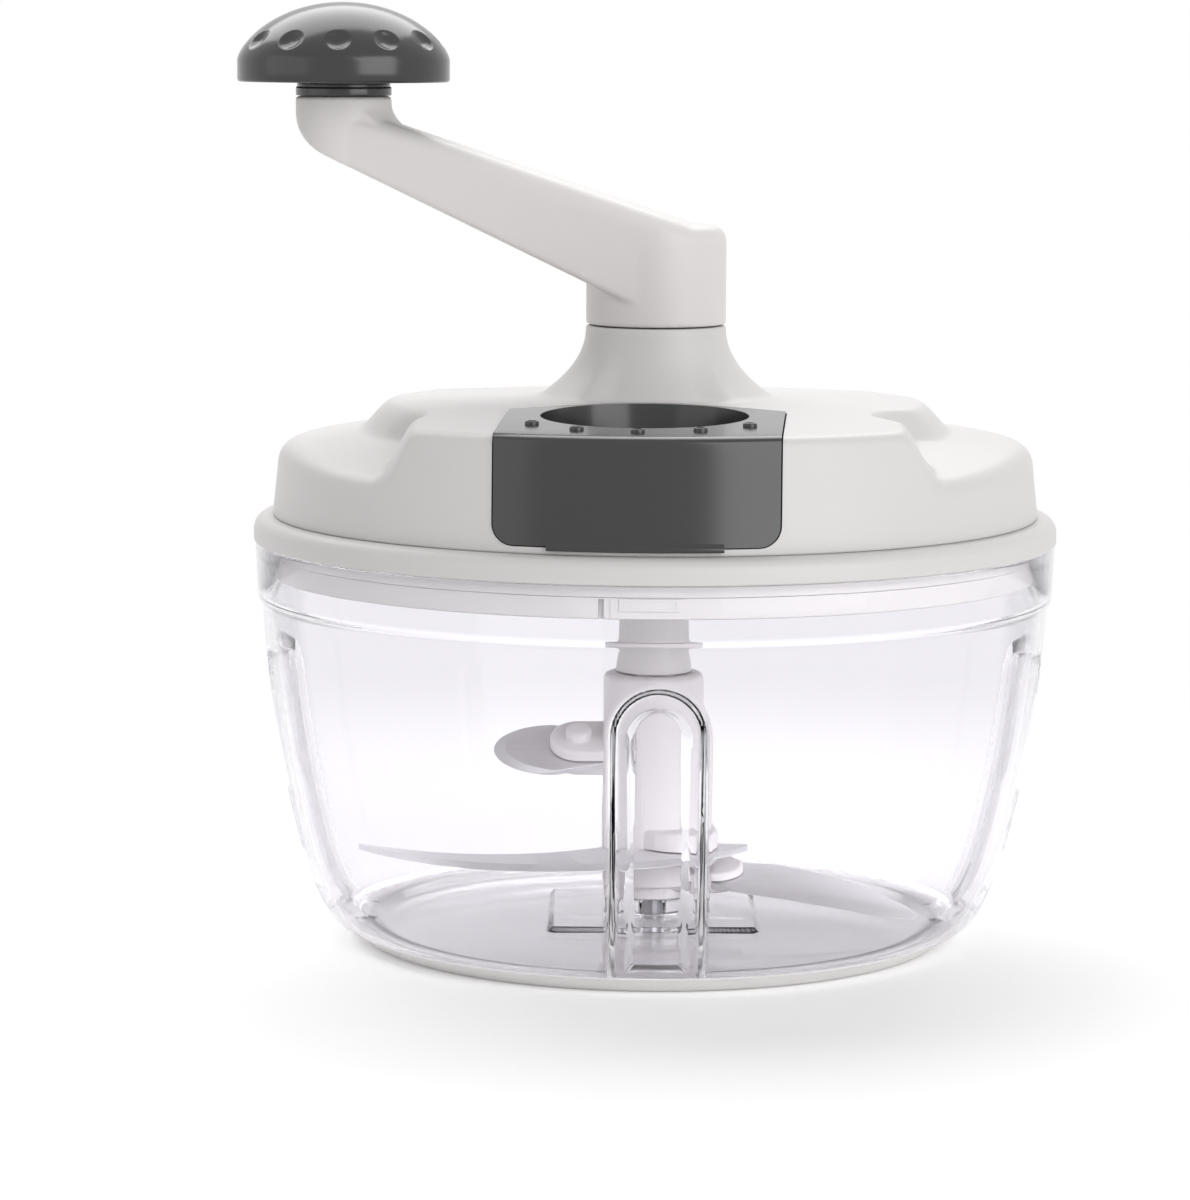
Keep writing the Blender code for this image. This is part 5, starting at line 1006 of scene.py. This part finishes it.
def through(points, steps):
    """A smooth curve through a few points, each bend shaped by its neighbours."""
    knots = np.array([points[0], *points, points[-1]], dtype=float)
    curve = []
    for p0, p1, p2, p3 in zip(knots, knots[1:], knots[2:], knots[3:]):
        for t in np.linspace(0, 1, steps, endpoint=False):
            square, cube = 2 * p0 - 5 * p1 + 4 * p2 - p3, 3 * p1 - p0 - 3 * p2 + p3
            curve.append(0.5 * (2 * p1 + (p2 - p0) * t + square * t * t + cube * t ** 3))
    return curve


def sickle():
    """The broad middle blade, a sickle that passes in front of the column."""
    edge = through([(-66.7, -6), (-60, -14.5), (-50, -23.5), (-40, -29.5), (-30, -32), (-20, -32.2),
                    (-10, -30.4), (0, -27), (9, -21), (17, -12.5), (21.8, -5)], 8)
    shares = np.linspace(0, 1, len(edge))
    front = [(x, y, 3.0 * max(0.02, sin(pi * s) ** 1.5)) for (x, y), s in zip(edge, shares)]
    bite = [(x, y, 0.02) for x, y in arc((0, 0), COLUMN_R + 0.3, -12, -150, 24)]
    back = through([(-12.5, -9), (-22, -14.6), (-33, -17.4), (-45, -16.6), (-56, -12),
                    (-66.2, -5.8)], 8)
    return np.array([*front, (21.4, -4, 0.02), *bite, *((x, y, 0.02) for x, y in back)])


def droop(x):
    """How far the lower blade hangs down towards its tip."""
    return -6.6 * np.clip((x - COLUMN_R) / 51.5, 0, 1.1) ** 2.2


def level_blade(x):
    """The other blades lie level all along."""
    return 0 * x


def blade_body(name, outline, bend, grow=0.0):
    """A sheet of steel whose edge is ground to a slant where the outline asks for one."""
    inward = inward_of(outline[:, :2])
    flat = outline[:, :2] - inward * grow
    slant = outline[:, 2:] if grow == 0 else outline[:, 2:] * 0 + 0.02
    half = BLADE / 2 + grow
    edge_z = half - 0.01 - (2 * half - 0.13) * np.clip(slant, 0, 1)
    work = stacked(at_level(flat, -half), at_level(flat, edge_z),
                   at_level(flat + inward * slant, half))
    work.normal_update()
    bmesh.ops.triangulate(work, faces=work.faces)
    for vertex in work.verts:
        vertex.co.z += bend(vertex.co.x / MM) * MM
    return piece_from(name, work)


def at_height(turn, pitch, height):
    """Pitch about the blade's length, then turn about the column and lift."""
    return (Matrix.Translation((0, 0, height * MM)) @ Matrix.Rotation(radians(turn), 4, "Z")
            @ Matrix.Rotation(radians(pitch), 4, "X"))


print("sickle outline:", len(sickle()), "points")

# %% Blades
blades = {
    "blade_upper": (leaf(36.2, 19.5, 0.45, 3.4), level_blade, at_height(182, -26, 42.5)),
    "blade_middle": (sickle(), level_blade, at_height(0, 0, 20.5)),
    "blade_lower": (leaf(62.5, 17.0, 0.3, 3.2), droop, at_height(-20, 10, 14.4)),
}
for name, (outline, bend, place) in blades.items():
    blade = moved(blade_body(name + "_ground", outline, bend), place)
    show(blade, "blade_unit", [name], blade_steel, sharp=20)

# %% Blade column
def lobe(reach, width, height):
    """A round-ended block along X that grows from the column."""
    half = width / 2
    outline = [(0, -half), *arc((reach - half, 0), half, -90, 90, 24), (0, half)]
    return soft_block("lobe", outline, -height / 2, height / 2, 0.9)


column = lathe("blade_column_soft", [(0, 9.1, 0), (9.2, 9.1, 0.4), (9.2, 12.1, 0.3),
                                     (COLUMN_R, 12.1, 0.6), (COLUMN_R, 60.0, 1.8), (0, 60.0, 0)],
               sides=128, steps=6)
upper = lobe(23.5, 13.0, 6.6)
rivet = lathe("rivet", [(0, 0, 0), (3.0, 0, 0), (3.0, 5.5, 1.2), (0, 5.5, 0)], sides=48)
carve(upper, moved(rivet, Matrix.Translation((17.0 * MM, 0, 0))), "UNION")
carve(column, moved(upper, blades["blade_upper"][2]), "UNION")
carve(column, moved(lobe(18.5, 17.0, 7.6), at_height(-52, 0, 21.7)), "UNION")
carve(column, moved(lobe(21.5, 13.5, 4.8), blades["blade_lower"][2]), "UNION")
for outline, bend, place in blades.values():
    carve(column, moved(blade_body("slot", outline, bend, grow=0.3), place))
carve(column, extrude("plug_socket", arc((0, 0), 8.3, 0, 300, 5), 48.0, 62.0))
carve(column, lathe("pin_bore", [(0, 5, 0), (4.9, 5, 0), (4.9, 20.4, 0), (2.8, 20.4, 0), (2.8, 33.8, 0),
                                 (0, 33.8, 0)], sides=48))
show(column, "blade_unit", ["blade_column"], column_plastic, sharp=40)

# %% [markdown]
# ## Non-slip pad
# The pad is a soft, pale disc that cups the bowl's foot and keeps it from sliding.

# %% Non-slip pad
pad = lathe("non_slip_pad_soft", [(0, 0, 0), (65.0, 0, 1.4), (70.0, 3.8, 0.4), (68.7, 3.8, 0.3),
                                  (64.3, 1.4, 0.6), (0, 1.4, 0)], sides=256, steps=5)
show(pad, "bowl", ["non_slip_pad"], soft_pale, sharp=60)
